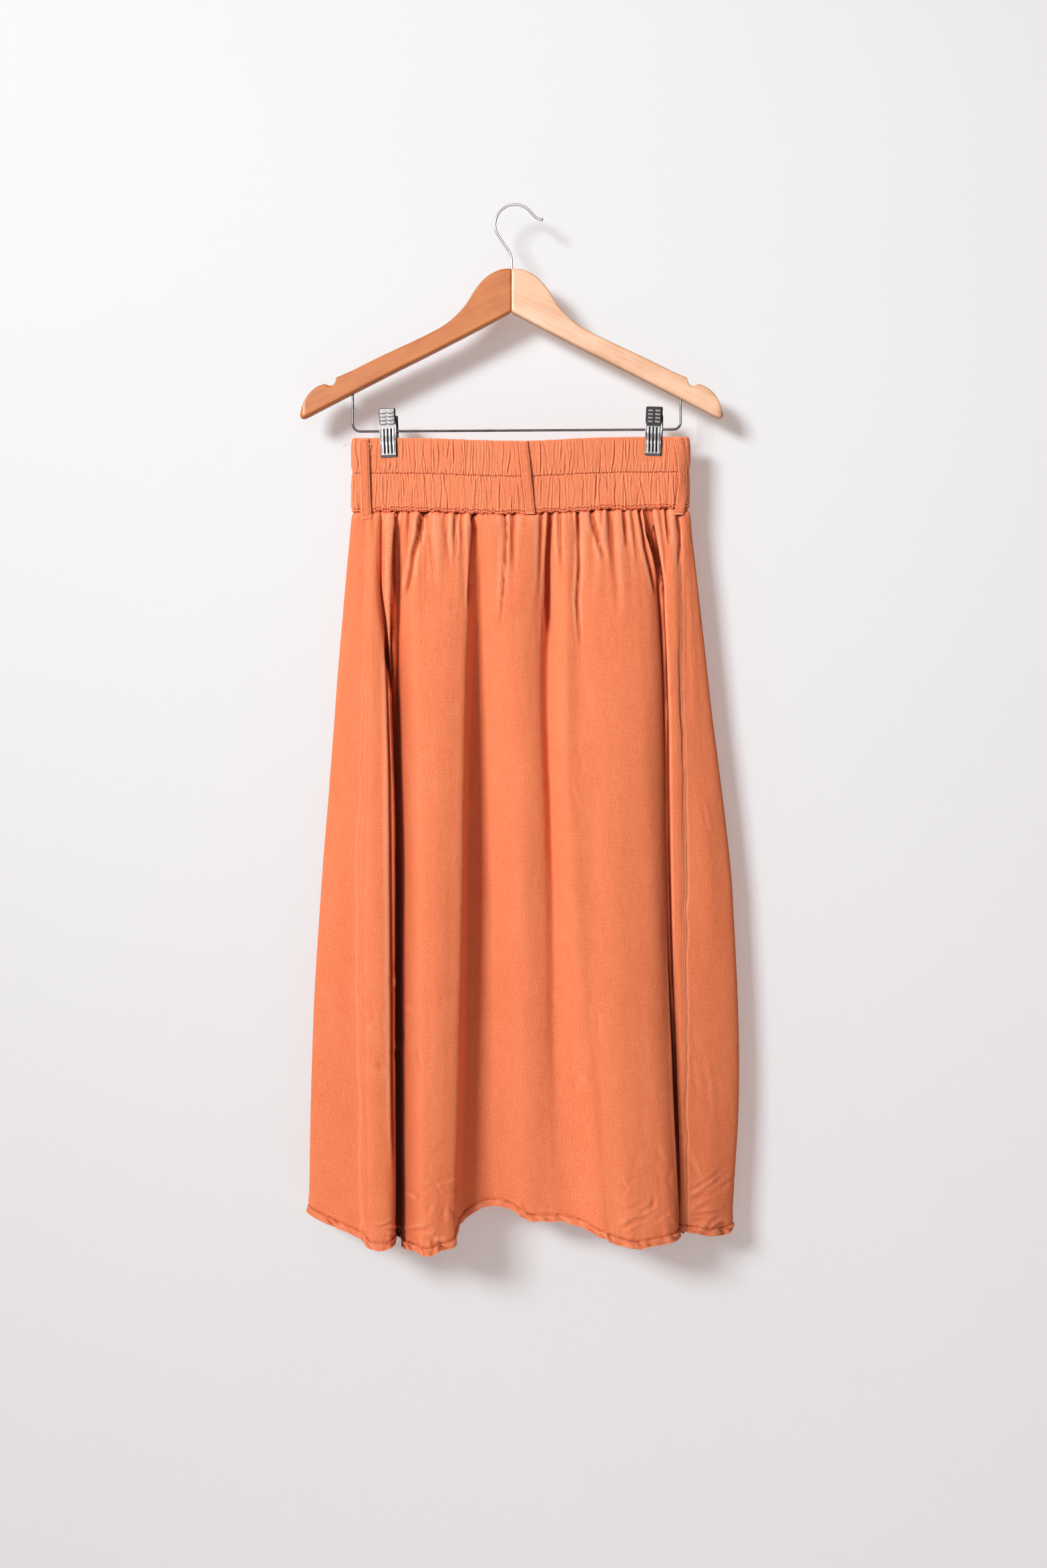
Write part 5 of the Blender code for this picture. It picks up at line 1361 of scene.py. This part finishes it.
def front_relief(x, z):
    """The front jaw's pressed form and its painted shade: upright flutes, short ribs and bevelled edges."""
    half = CLIP_WIDTH / 2
    flutes = np.zeros(np.broadcast(x, z).shape)
    for index in range(FLUTES):
        middle = (index - (FLUTES - 1) / 2) * FLUTE_SPACING - 0.3 * MM
        flutes = flutes + smooth_step(1.35 * MM, 0.75 * MM, np.abs(x - middle))
    tall = smooth_step(FLUTE_BOTTOM, FLUTE_BOTTOM + 0.7 * MM, z)
    tall = tall * smooth_step(FLUTE_TOP, FLUTE_TOP - 0.7 * MM, z)
    inner = smooth_step(half - 1.3 * MM, half - 2.0 * MM, np.abs(x + 0.3 * MM))
    grooves = (1 - np.clip(flutes, 0, 1)) * tall * inner
    relief = -0.8 * MM * grooves
    # Painted shade in the grooves
    shade = smooth_step(0.3, 0.75, grooves)
    # Painted dark reflection on the right, bottom and top bevels
    shade = np.maximum(shade, 0.95 * smooth_step(half - 1.7 * MM, half - 1.2 * MM, x + 0 * z))
    shade = np.maximum(shade, 0.55 * smooth_step(2.4 * MM, 1.9 * MM, z + CLIP_BELOW_BAR + 0 * x))
    shade = np.maximum(shade, 0.4 * smooth_step(1.0 * MM, 0.6 * MM, CLIP_ABOVE_BAR - z + 0 * x))
    for row in range(RIB_ROWS):
        level = RIB_TOP - row * RIB_SPACING
        for side in (-1, 1):
            dx = np.abs(x - side * RIB_OFFSET)
            dz = np.abs(z - level)
            edge = np.maximum(dx - 1.7 * MM, 0)
            away = np.sqrt(edge**2 + dz**2)
            relief = relief + 0.4 * MM * smooth_step(1.2 * MM, 0.7 * MM, away)
            # Painted shadow under and beside each rib
            below = smooth_step(0.7 * MM, -0.1 * MM, z - level)
            shade = np.maximum(shade, 0.9 * below * bell(away - 1.3 * MM, 0.4 * MM))
    bevel = np.maximum(np.abs(x) - (half - 1.4 * MM), 0) * 0.9
    bevel = np.maximum(bevel, np.maximum(-CLIP_BELOW_BAR + 2.6 * MM - z, 0) * 0.75)
    bevel = np.maximum(bevel, np.maximum(z - CLIP_ABOVE_BAR + 1.0 * MM, 0) * 0.9)
    return relief - bevel, shade


def plate(name, facing, top, width, relief, chrome, gloom=0):
    """A bent and pressed steel plate, with its sides turned back a little."""
    columns, rows = (89, 225) if relief else (25, 90)
    x = np.linspace(-width / 2, width / 2, columns)[None, :]
    z = np.linspace(-CLIP_BELOW_BAR, top, rows)[:, None]
    depth = jaw_depth(z, top) + 0 * x
    if relief:
        depth = depth + 0.5 * MM + relief(x, z)[0]
    else:
        edge = np.maximum(np.abs(x) - (width / 2 - 0.6 * MM), 0)
        depth = depth - edge * 0.8
    corner, straight = CLIP_CORNER, width / 2 - CLIP_CORNER
    for limit, sign in ((top - corner, 1), (-CLIP_BELOW_BAR + corner, -1)):
        past = np.maximum((z - limit) * sign, 0)
        shrink = np.where(past > 0, np.clip(np.sqrt(np.maximum(corner**2 - past**2, 0)) / corner, 0.0, 1), 1)
        rounded = np.sign(x) * (straight + (np.abs(x) - straight) * shrink)
        x = np.where(np.abs(x) > straight, rounded, x + 0 * past)
    outer = np.stack([x + 0 * z, facing * depth, z + 0 * x], axis=2)
    back = jaw_depth(z, top) - 0.75 * MM + 0 * x
    inner = np.stack([x + 0 * z, facing * np.minimum(back, depth - 0.3 * MM), z + 0 * x], axis=2)
    ring = np.concatenate([outer, inner[:, ::-1]], axis=1).transpose(1, 0, 2)
    if facing > 0:
        ring = ring[::-1]
    uv = np.stack([ring[..., 0], ring[..., 2]], axis=2)
    # Painted shade from the relief, and darker between the ribs by the gloom, as painted dark reflection
    shade = np.zeros(depth.shape)
    if relief:
        pressed, dark = relief(x, z)
        upper = smooth_step(FLUTE_TOP, FLUTE_TOP + 1 * MM, z) + 0 * x
        ribs = np.clip(pressed / (0.3 * MM), 0, 1)
        shade = np.minimum(-dark, -gloom * upper * (1 - 0.75 * ribs))
    # The plate's inner face is painted near black, as painted shade
    shade = np.concatenate([shade, np.full(shade.shape, -0.9)], axis=1).T
    if facing > 0:
        shade = shade[::-1]
    piece = tube_mesh(name, ring, shade, uv, chrome)
    piece.data.set_sharp_from_angle(angle=math.radians(50))
    return piece


def join_meshes(target, others):
    """Takes the other pieces' meshes into the target's."""
    chosen = [target, *others]
    with bpy.context.temp_override(active_object=target, object=target,
                                   selected_objects=chosen, selected_editable_objects=chosen):
        bpy.ops.object.join()
    return target


def side_flange(name, side, chrome):
    """The ear of the front jaw that reaches back to the bar."""
    profile = np.array(FLANGE_OUTLINE)
    curve = flowing_curve(np.concatenate([profile, profile[:1]]), 4)[:-1] * MM
    x = side * (CLIP_WIDTH / 2 - 0.55 * MM)
    faces = [np.stack([np.full(len(curve), at), -curve[:, 0], curve[:, 1]], axis=1)
             for at in (x - 0.45 * MM, x + 0.45 * MM)]
    rings = np.stack(faces, axis=1)
    uv = np.stack([rings[..., 1], rings[..., 2]], axis=2)
    return tube_mesh(name, rings, np.zeros(rings.shape[:2]), uv, chrome)


def build_clips(chromes, spring_steel):
    made = {}
    for clip, chrome, gloom in zip(CLIPS, chromes, CLIP_GLOOM):
        x = clip.x * MM
        tilt = Matrix.Rotation(math.radians(clip.tilt_degrees), 4, "Y")
        place = Matrix.Translation((x, 0, bar_z(x))) @ tilt
        front = plate(clip.name + "_front_plate", -1, CLIP_ABOVE_BAR, CLIP_WIDTH, front_relief, chrome, gloom)
        ears = [side_flange(clip.name + "_ear", side, chrome) for side in (-1, 1)]
        join_meshes(front, ears)
        rear_top, rear_width = CLIP_ABOVE_BAR - REAR_JAW_DROP, CLIP_WIDTH - REAR_JAW_INSET
        rear = plate(clip.name + "_rear_plate", 1, rear_top, rear_width, None, chrome)
        turns = np.linspace(0, 2 * math.pi * COIL_TURNS, 9 * 24)
        coil = np.stack([
            (turns / turns[-1] - 0.5) * (SPRING_WIDTH - 2 * COIL_WIRE),
            np.cos(turns) * (SPRING_RADIUS - COIL_WIRE), np.sin(turns) * (SPRING_RADIUS - COIL_WIRE),
        ], axis=1)
        spring = wire_mesh(clip.name + "_coil", coil, COIL_WIRE, spring_steel, 8)
        rear.data.transform(Matrix.Translation((REAR_SHIFT, 0, 0)))
        for kind, piece in (("_front", front), ("_rear", rear), ("_spring", spring)):
            piece.data.transform(place)
            made[clip.name + kind] = piece
    return made


# Materials

def set_inputs(tree, made, inputs):
    """Links each input that is given a socket, and sets the others to their values."""
    for key, value in inputs.items():
        if isinstance(value, bpy.types.NodeSocket):
            tree.links.new(value, made.inputs[key])
        else:
            made.inputs[key].default_value = value


def node(tree, kind, inputs=None, **settings):
    made = tree.nodes.new(kind)
    for key, value in settings.items():
        setattr(made, key, value)
    set_inputs(tree, made, inputs or {})
    return made


def new_material(name):
    material = bpy.data.materials.new(name)
    material.use_nodes = True
    tree = material.node_tree
    return material, tree, tree.nodes["Principled BSDF"]


def add_math(tree, operation, a, b=0.0):
    return node(tree, "ShaderNodeMath", {0: a, 1: b}, operation=operation).outputs[0]


def added(tree, a, b):
    return add_math(tree, "ADD", a, b)


def times(tree, a, b):
    return add_math(tree, "MULTIPLY", a, b)


def clamped(tree, value):
    return node(tree, "ShaderNodeClamp", {"Value": value}).outputs[0]


def mapped_range(tree, value, low, high):
    return node(tree, "ShaderNodeMapRange", {"Value": value, "To Min": low, "To Max": high}).outputs[0]


def bump(tree, height, strength, distance, **more):
    inputs = {"Strength": strength, "Distance": distance * MM, "Height": height, **more}
    return node(tree, "ShaderNodeBump", inputs).outputs[0]


def object_place(tree):
    return node(tree, "ShaderNodeTexCoord").outputs["Object"]


def cloth_place(tree):
    return node(tree, "ShaderNodeUVMap", uv_map="cloth").outputs["UV"]


# Rubbing above 0 and painted shade below 0, read from the mesh
def wear_and_shade_amount(tree):
    return node(tree, "ShaderNodeAttribute", attribute_name="wear").outputs["Fac"]


def noise_on(tree, vector, scale, detail=2.0, stretch=(1, 1, 1), offset=(0, 0, 0), roughness=0.5):
    mapped = node(tree, "ShaderNodeMapping", {
        "Vector": vector, "Scale": tuple(scale * s for s in stretch), "Location": offset,
    })
    made = node(tree, "ShaderNodeTexNoise", {
        "Vector": mapped.outputs[0], "Scale": 1.0, "Detail": detail, "Roughness": roughness,
    })
    return made.outputs["Fac"]


def weighted_sum(tree, parts):
    total = None
    for socket, weight in parts:
        term = times(tree, add_math(tree, "SUBTRACT", socket, 0.5), weight)
        total = term if total is None else added(tree, total, term)
    return total


def colour_ramp(tree, factor, stops):
    made = node(tree, "ShaderNodeValToRGB", {"Fac": factor})
    ramp = made.color_ramp
    while len(ramp.elements) < len(stops):
        ramp.elements.new(0.5)
    for element, (place, colour) in zip(ramp.elements, stops):
        element.position = place
        element.color = (*colour, 1)
    return made.outputs["Color"]


def mix_colours(tree, factor, a, b):
    made = node(tree, "ShaderNodeMix", data_type="RGBA")
    for socket, value in ((made.inputs[0], factor), (made.inputs[6], a), (made.inputs[7], b)):
        if isinstance(value, bpy.types.NodeSocket):
            tree.links.new(value, socket)
        else:
            socket.default_value = value if isinstance(value, float) else (*value, 1)
    return made.outputs[2]


def linen_material(name, deep, plain, pale, worn, hollow):
    """Plain-weave linen: threads of uneven thickness, a mottled dye, paler worn ridges and painted shade in
    its hollows.
    """
    material, tree, shader = new_material(name)
    cloth = cloth_place(tree)
    patches = noise_on(tree, cloth, 9, 3)
    clouds = noise_on(tree, cloth, 55, 4, (1, 0.6, 1), (3, 7, 0))
    grain = noise_on(tree, cloth, 700, 3, (1, 1, 1), (1, 5, 0), 0.65)
    warp = noise_on(tree, cloth, 1, 3, (1900, 55, 1), (9, 2, 0), 0.6)
    weft = noise_on(tree, cloth, 1, 3, (55, 1900, 1), (4, 11, 0), 0.6)
    tone = weighted_sum(tree, ((patches, 0.16), (clouds, 0.18), (grain, 1.2), (warp, 0.55), (weft, 0.45)))
    dyed = colour_ramp(tree, added(tree, tone, 0.5), ((0.12, deep), (0.5, plain), (0.9, pale)))
    # Values above 0 rub the dye off in grains; below 0 the cloth goes dark in two steps, as painted shade
    raw = wear_and_shade_amount(tree)
    rub = clamped(tree, times(tree, raw, added(tree, times(tree, grain, 1.2), 0.35)))
    dark = times(tree, clamped(tree, times(tree, raw, -0.95)), 2.0)
    dyed = mix_colours(tree, clamped(tree, dark), dyed, LINEN_SHADE)
    dyed = mix_colours(tree, clamped(tree, added(tree, dark, -1.0)), dyed, hollow)
    # The weave: one thread over and one under, with the unevenness of the threads
    split = node(tree, "ShaderNodeSeparateXYZ", {0: cloth})
    turn = 2 * math.pi / (2 * THREAD_PITCH)
    waves = [add_math(tree, "SINE", times(tree, split.outputs[k], turn)) for k in (0, 1)]
    threads = added(tree, times(tree, times(tree, *waves), 0.25), added(tree, warp, weft))
    lumps = added(tree, times(tree, grain, 0.35), noise_on(tree, cloth, 150, 3, (1, 0.7, 1)))
    set_inputs(tree, shader, {
        "Base Color": mix_colours(tree, rub, dyed, worn),
        "Normal": bump(tree, lumps, 0.8, 0.6, Normal=bump(tree, threads, 0.7, 0.14)),
        "Roughness": mapped_range(tree, grain, 0.82, 0.98),
        "Specular IOR Level": 0.18, "Sheen Weight": 0.15, "Sheen Roughness": 0.45,
        "Sheen Tint": (1.0, 0.72, 0.55, 1),
    })
    return material


def thread_material(name, colour, dark):
    material, tree, shader = new_material(name)
    place = object_place(tree)
    twist = noise_on(tree, place, 1400, 3)
    patches = noise_on(tree, place, 60, 2)
    tone = added(tree, weighted_sum(tree, ((twist, 0.9), (patches, 0.7))), 0.5)
    set_inputs(tree, shader, {
        "Base Color": colour_ramp(tree, tone, ((0.2, dark), (0.7, colour))),
        "Normal": bump(tree, twist, 0.5, 0.1),
        "Roughness": mapped_range(tree, twist, 0.6, 0.85),
    })
    return material


def wood_material(name, dark, plain, light, shift):
    """Varnished beech: long fine grain with short flecks, and a soft clear coat."""
    material, tree, shader = new_material(name)
    depth = node(tree, "ShaderNodeSeparateXYZ", {0: object_place(tree)}).outputs[1]
    split = node(tree, "ShaderNodeSeparateXYZ", {0: cloth_place(tree)}).outputs
    board = node(tree, "ShaderNodeCombineXYZ", {0: split[0], 1: split[1], 2: depth}).outputs[0]
    broad = noise_on(tree, board, 1, 3, (7, 38, 30), (shift, 0, 0))
    streaks = noise_on(tree, board, 1, 5, (14, 420, 300), (shift, 3, 0), 0.6)
    flecks = noise_on(tree, board, 1, 2, (260, 1500, 900), (shift, 5, 0), 0.5)
    flecks = node(tree, "ShaderNodeMapRange", {"Value": flecks, "From Min": 0.56, "From Max": 0.72})
    clouds = noise_on(tree, board, 1, 3, (45, 60, 60), (shift, 9, 0))
    tone = added(tree, weighted_sum(tree, ((broad, 0.9), (streaks, 0.55), (clouds, 0.55))), 0.5)
    tone = add_math(tree, "SUBTRACT", tone, times(tree, flecks.outputs[0], 0.10))
    set_inputs(tree, shader, {
        "Base Color": colour_ramp(tree, tone, ((0.15, dark), (0.5, plain), (0.88, light))),
        "Normal": bump(tree, streaks, 0.12, 0.2),
        "Roughness": mapped_range(tree, clouds, 0.34, 0.5),
        "Coat Weight": 0.4, "Coat Roughness": 0.28,
    })
    return material


def metal_material(name, bright, dull, smoothest, roughest, scale):
    """Plated steel, with faint marks in the colour and the polish, and painted black shade in its grooves and
    shaded faces.
    """
    material, tree, shader = new_material(name)
    place = object_place(tree)
    marks = noise_on(tree, place, scale, 4, (1, 1, 0.35))
    spots = noise_on(tree, place, scale * 4, 2, (1, 1, 1), (3, 3, 3))
    tone = added(tree, weighted_sum(tree, ((marks, 0.9), (spots, 0.6))), 0.5)
    plated = colour_ramp(tree, tone, ((0.25, dull), (0.65, bright)))
    # Painted shade: black where the mesh attribute is below 0
    groove = clamped(tree, times(tree, wear_and_shade_amount(tree), -1.0))
    set_inputs(tree, shader, {
        "Base Color": mix_colours(tree, groove, plated, METAL_PAINTED_SHADE),
        "Roughness": mapped_range(tree, marks, smoothest, roughest),
        "Normal": bump(tree, spots, 0.1, 0.05),
        "Metallic": 0.9,
    })
    return material


# Camera, room and light

def area_light(name, place, target, width, height, power, colour):
    lamp = bpy.data.lights.new(name, "AREA")
    lamp.shape = "RECTANGLE"
    lamp.size, lamp.size_y = width, height
    lamp.energy = power
    lamp.color = colour
    made = bpy.data.objects.new(name, lamp)
    bpy.context.scene.collection.objects.link(made)
    made.location = place
    made.rotation_euler = (Vector(target) - Vector(place)).to_track_quat("-Z", "Y").to_euler()
    return made


def stage_plane(name, corners, colour, variation, one_sided):
    """A plain plane behind or below the part. A one-sided one glows a little, as painted light, and is clear
    from behind.
    """
    material, tree, shader = new_material(name)
    place = object_place(tree)
    blotches = noise_on(tree, place, 2.3, 4)
    darker = tuple(c * (1 - variation) for c in colour)
    set_inputs(tree, shader, {
        "Base Color": mix_colours(tree, blotches, darker, colour),
        "Roughness": 0.9, "Specular IOR Level": 0.1,
    })
    if one_sided:
        # The glow is painted light: it lifts and warms the shadows cast on the wall
        set_inputs(tree, shader, {"Emission Color": (1.0, 0.79, 0.75, 1), "Emission Strength": 0.26})
        clear = node(tree, "ShaderNodeBsdfTransparent")
        behind = node(tree, "ShaderNodeNewGeometry").outputs["Backfacing"]
        mixed = node(tree, "ShaderNodeMixShader", {0: behind, 1: shader.outputs[0], 2: clear.outputs[0]})
        output = tree.nodes["Material Output"]
        tree.links.new(mixed.outputs[0], output.inputs["Surface"])
    made = make_piece(name, corners, [list(range(4))], material, smooth=False)
    return made


def build_room():
    scene = bpy.context.scene
    scene.view_settings.view_transform = "Standard"
    world = bpy.data.worlds.new("studio")
    scene.world = world
    world.use_nodes = True
    tree = world.node_tree
    background = tree.nodes["Background"]
    direction = node(tree, "ShaderNodeTexCoord").outputs["Generated"]
    split = node(tree, "ShaderNodeSeparateXYZ", {0: direction})
    side = node(tree, "ShaderNodeMapRange", {
        "Value": split.outputs[0], "From Min": -0.8, "From Max": 0.8, "To Min": 1.0, "To Max": 0.0,
    }).outputs[0]
    sky = mix_colours(tree, side, (0.40, 0.31, 0.285), (0.84, 0.70, 0.65))
    set_inputs(tree, background, {"Color": sky, "Strength": 0.40})
    far = ROOM_REACH
    corners = [(-far, WALL_Y, FLOOR_Z), (far, WALL_Y, FLOOR_Z),
               (far, WALL_Y, WALL_TOP), (-far, WALL_Y, WALL_TOP)]
    wall = stage_plane("wall", corners, (0.60, 0.665, 0.69), 0.03, True)
    for setting in ("visible_diffuse", "visible_glossy", "visible_transmission", "visible_shadow"):
        setattr(wall, setting, False)
    corners = [(-far, -far, FLOOR_Z), (far, -far, FLOOR_Z), (far, far, FLOOR_Z), (-far, far, FLOOR_Z)]
    stage_plane("floor", corners, (0.86, 0.85, 0.85), 0.04, False)
    key = area_light("key", (-3.30, -3.90, 1.60), (0.2, 0, -0.15), 1.7, 1.3, 34, (0.985, 0.99, 1.0))
    key.data.spread = math.radians(57)
    card = area_light("card", (-0.3, -3.3, 0.3), (0, 0, -0.25), 2.6, 3.4, 27, (1.0, 1.0, 1.0))
    card.visible_diffuse = False
    area_light("fill", (-0.2, -3.2, 0.45), (0, 0, -0.3), 1.9, 1.0, 5.5, (1.0, 0.93, 0.90))
    area_light("back", (0.9, 2.6, 0.6), (0, 0, -0.6), 2.0, 2.0, 26, (1.0, 1.0, 1.0))


def build_camera():
    data = bpy.data.cameras.new("camera")
    data.sensor_width = CAMERA_SENSOR
    data.lens = CAMERA_LENS
    camera = bpy.data.objects.new("camera", data)
    bpy.context.scene.collection.objects.link(camera)
    camera.location = (VIEW_X, -VIEW_DISTANCE, VIEW_Z)
    camera.rotation_euler = (math.radians(90), 0, 0)
    bpy.context.scene.camera = camera


def main():
    build_camera()
    build_room()
    linen = linen_material("rust linen", deep=(0.70, 0.145, 0.05), plain=(0.88, 0.235, 0.098),
                           pale=(0.96, 0.335, 0.17), worn=(0.99, 0.46, 0.28), hollow=LINEN_HOLLOW)
    thread = thread_material("rust thread", (0.97, 0.48, 0.29), (0.85, 0.30, 0.15))
    # The waistband's middle stitches take a darker copy of the thread: painted shade of the groove they sit in
    groove_shaded_thread = thread_material("shaded thread", (0.62, 0.17, 0.07), (0.45, 0.11, 0.04))
    wood_left = wood_material(
        "beech, left board", (0.44, 0.115, 0.02), (0.60, 0.182, 0.036), (0.69, 0.245, 0.06), 0.0)
    # One beech in two colours: the right board's paler colour is painted sheen, the light's reflection on that
    # arm
    wood_right_painted_sheen = wood_material(
        "beech, right board", (0.68, 0.34, 0.165), (0.88, 0.52, 0.32), (0.95, 0.67, 0.48), 5.0)
    # The darker clip chrome for the right clip is painted dark reflection; the bar steel's dark colour is
    # painted dark reflection of the room
    chrome, clip_chrome, shaded_chrome, steel, dark_steel = (metal_material(*row) for row in (
        ("chrome", (0.86, 0.86, 0.87), (0.72, 0.72, 0.73), 0.12, 0.22, 60),
        ("clip chrome", (0.66, 0.66, 0.67), (0.50, 0.50, 0.51), 0.26, 0.34, 40),
        ("darker clip chrome", (0.52, 0.52, 0.53), (0.38, 0.38, 0.39), 0.24, 0.32, 40),
        ("bar steel", (0.20, 0.19, 0.19), (0.10, 0.095, 0.095), 0.14, 0.26, 90),
        ("spring steel", (0.24, 0.24, 0.25), (0.12, 0.12, 0.12), 0.3, 0.5, 300),
    ))

    skirt = build_skirt(linen, thread)
    bands = build_bands(linen, groove_shaded_thread)
    loops = build_loops(linen, thread)
    clips = build_clips((clip_chrome, shaded_chrome), dark_steel)
    # Each piece, its slot and the node that it replaces
    rides = [(skirt["skirt_" + side], "linen", "skirt_panel_" + side) for side in SIDES]
    rides += [(skirt[f"skirt_{side}_hem_stitches"], "linen", None) for side in SIDES]
    rides += [(bands["waistband_" + side], "gathered_linen", "waistband_" + side) for side in SIDES]
    rides += [(bands[f"waistband_{side}_stitches"], "gathered_linen", None) for side in SIDES]
    rides += [
        (build_loose_threads(thread), "gathered_linen", None),
        (build_arm("arm_left", -1, wood_left), "wood", "hanger_arm_left"),
        (build_arm("arm_right", 1, wood_right_painted_sheen), "wood", "hanger_arm_right"),
        (build_hook(chrome), "wire", "hanger_hook"),
        (build_bar(steel), "wire", "trouser_bar"),
    ]
    for loop in BELT_LOOPS:
        rides.append((loops[loop.name], "loop_linen", loop.name))
        rides.append((loops[loop.name + "_stitches"], "loop_linen", None))
    for clip in CLIPS:
        for kind, slot in (("_front", "clip_plate"), ("_rear", "clip_plate"), ("_spring", "spring")):
            rides.append((clips[clip.name + kind], slot, clip.name + kind))
    for piece, slot, replaced in rides:
        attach(piece, "root")
        if replaced:
            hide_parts(replaced)


main()
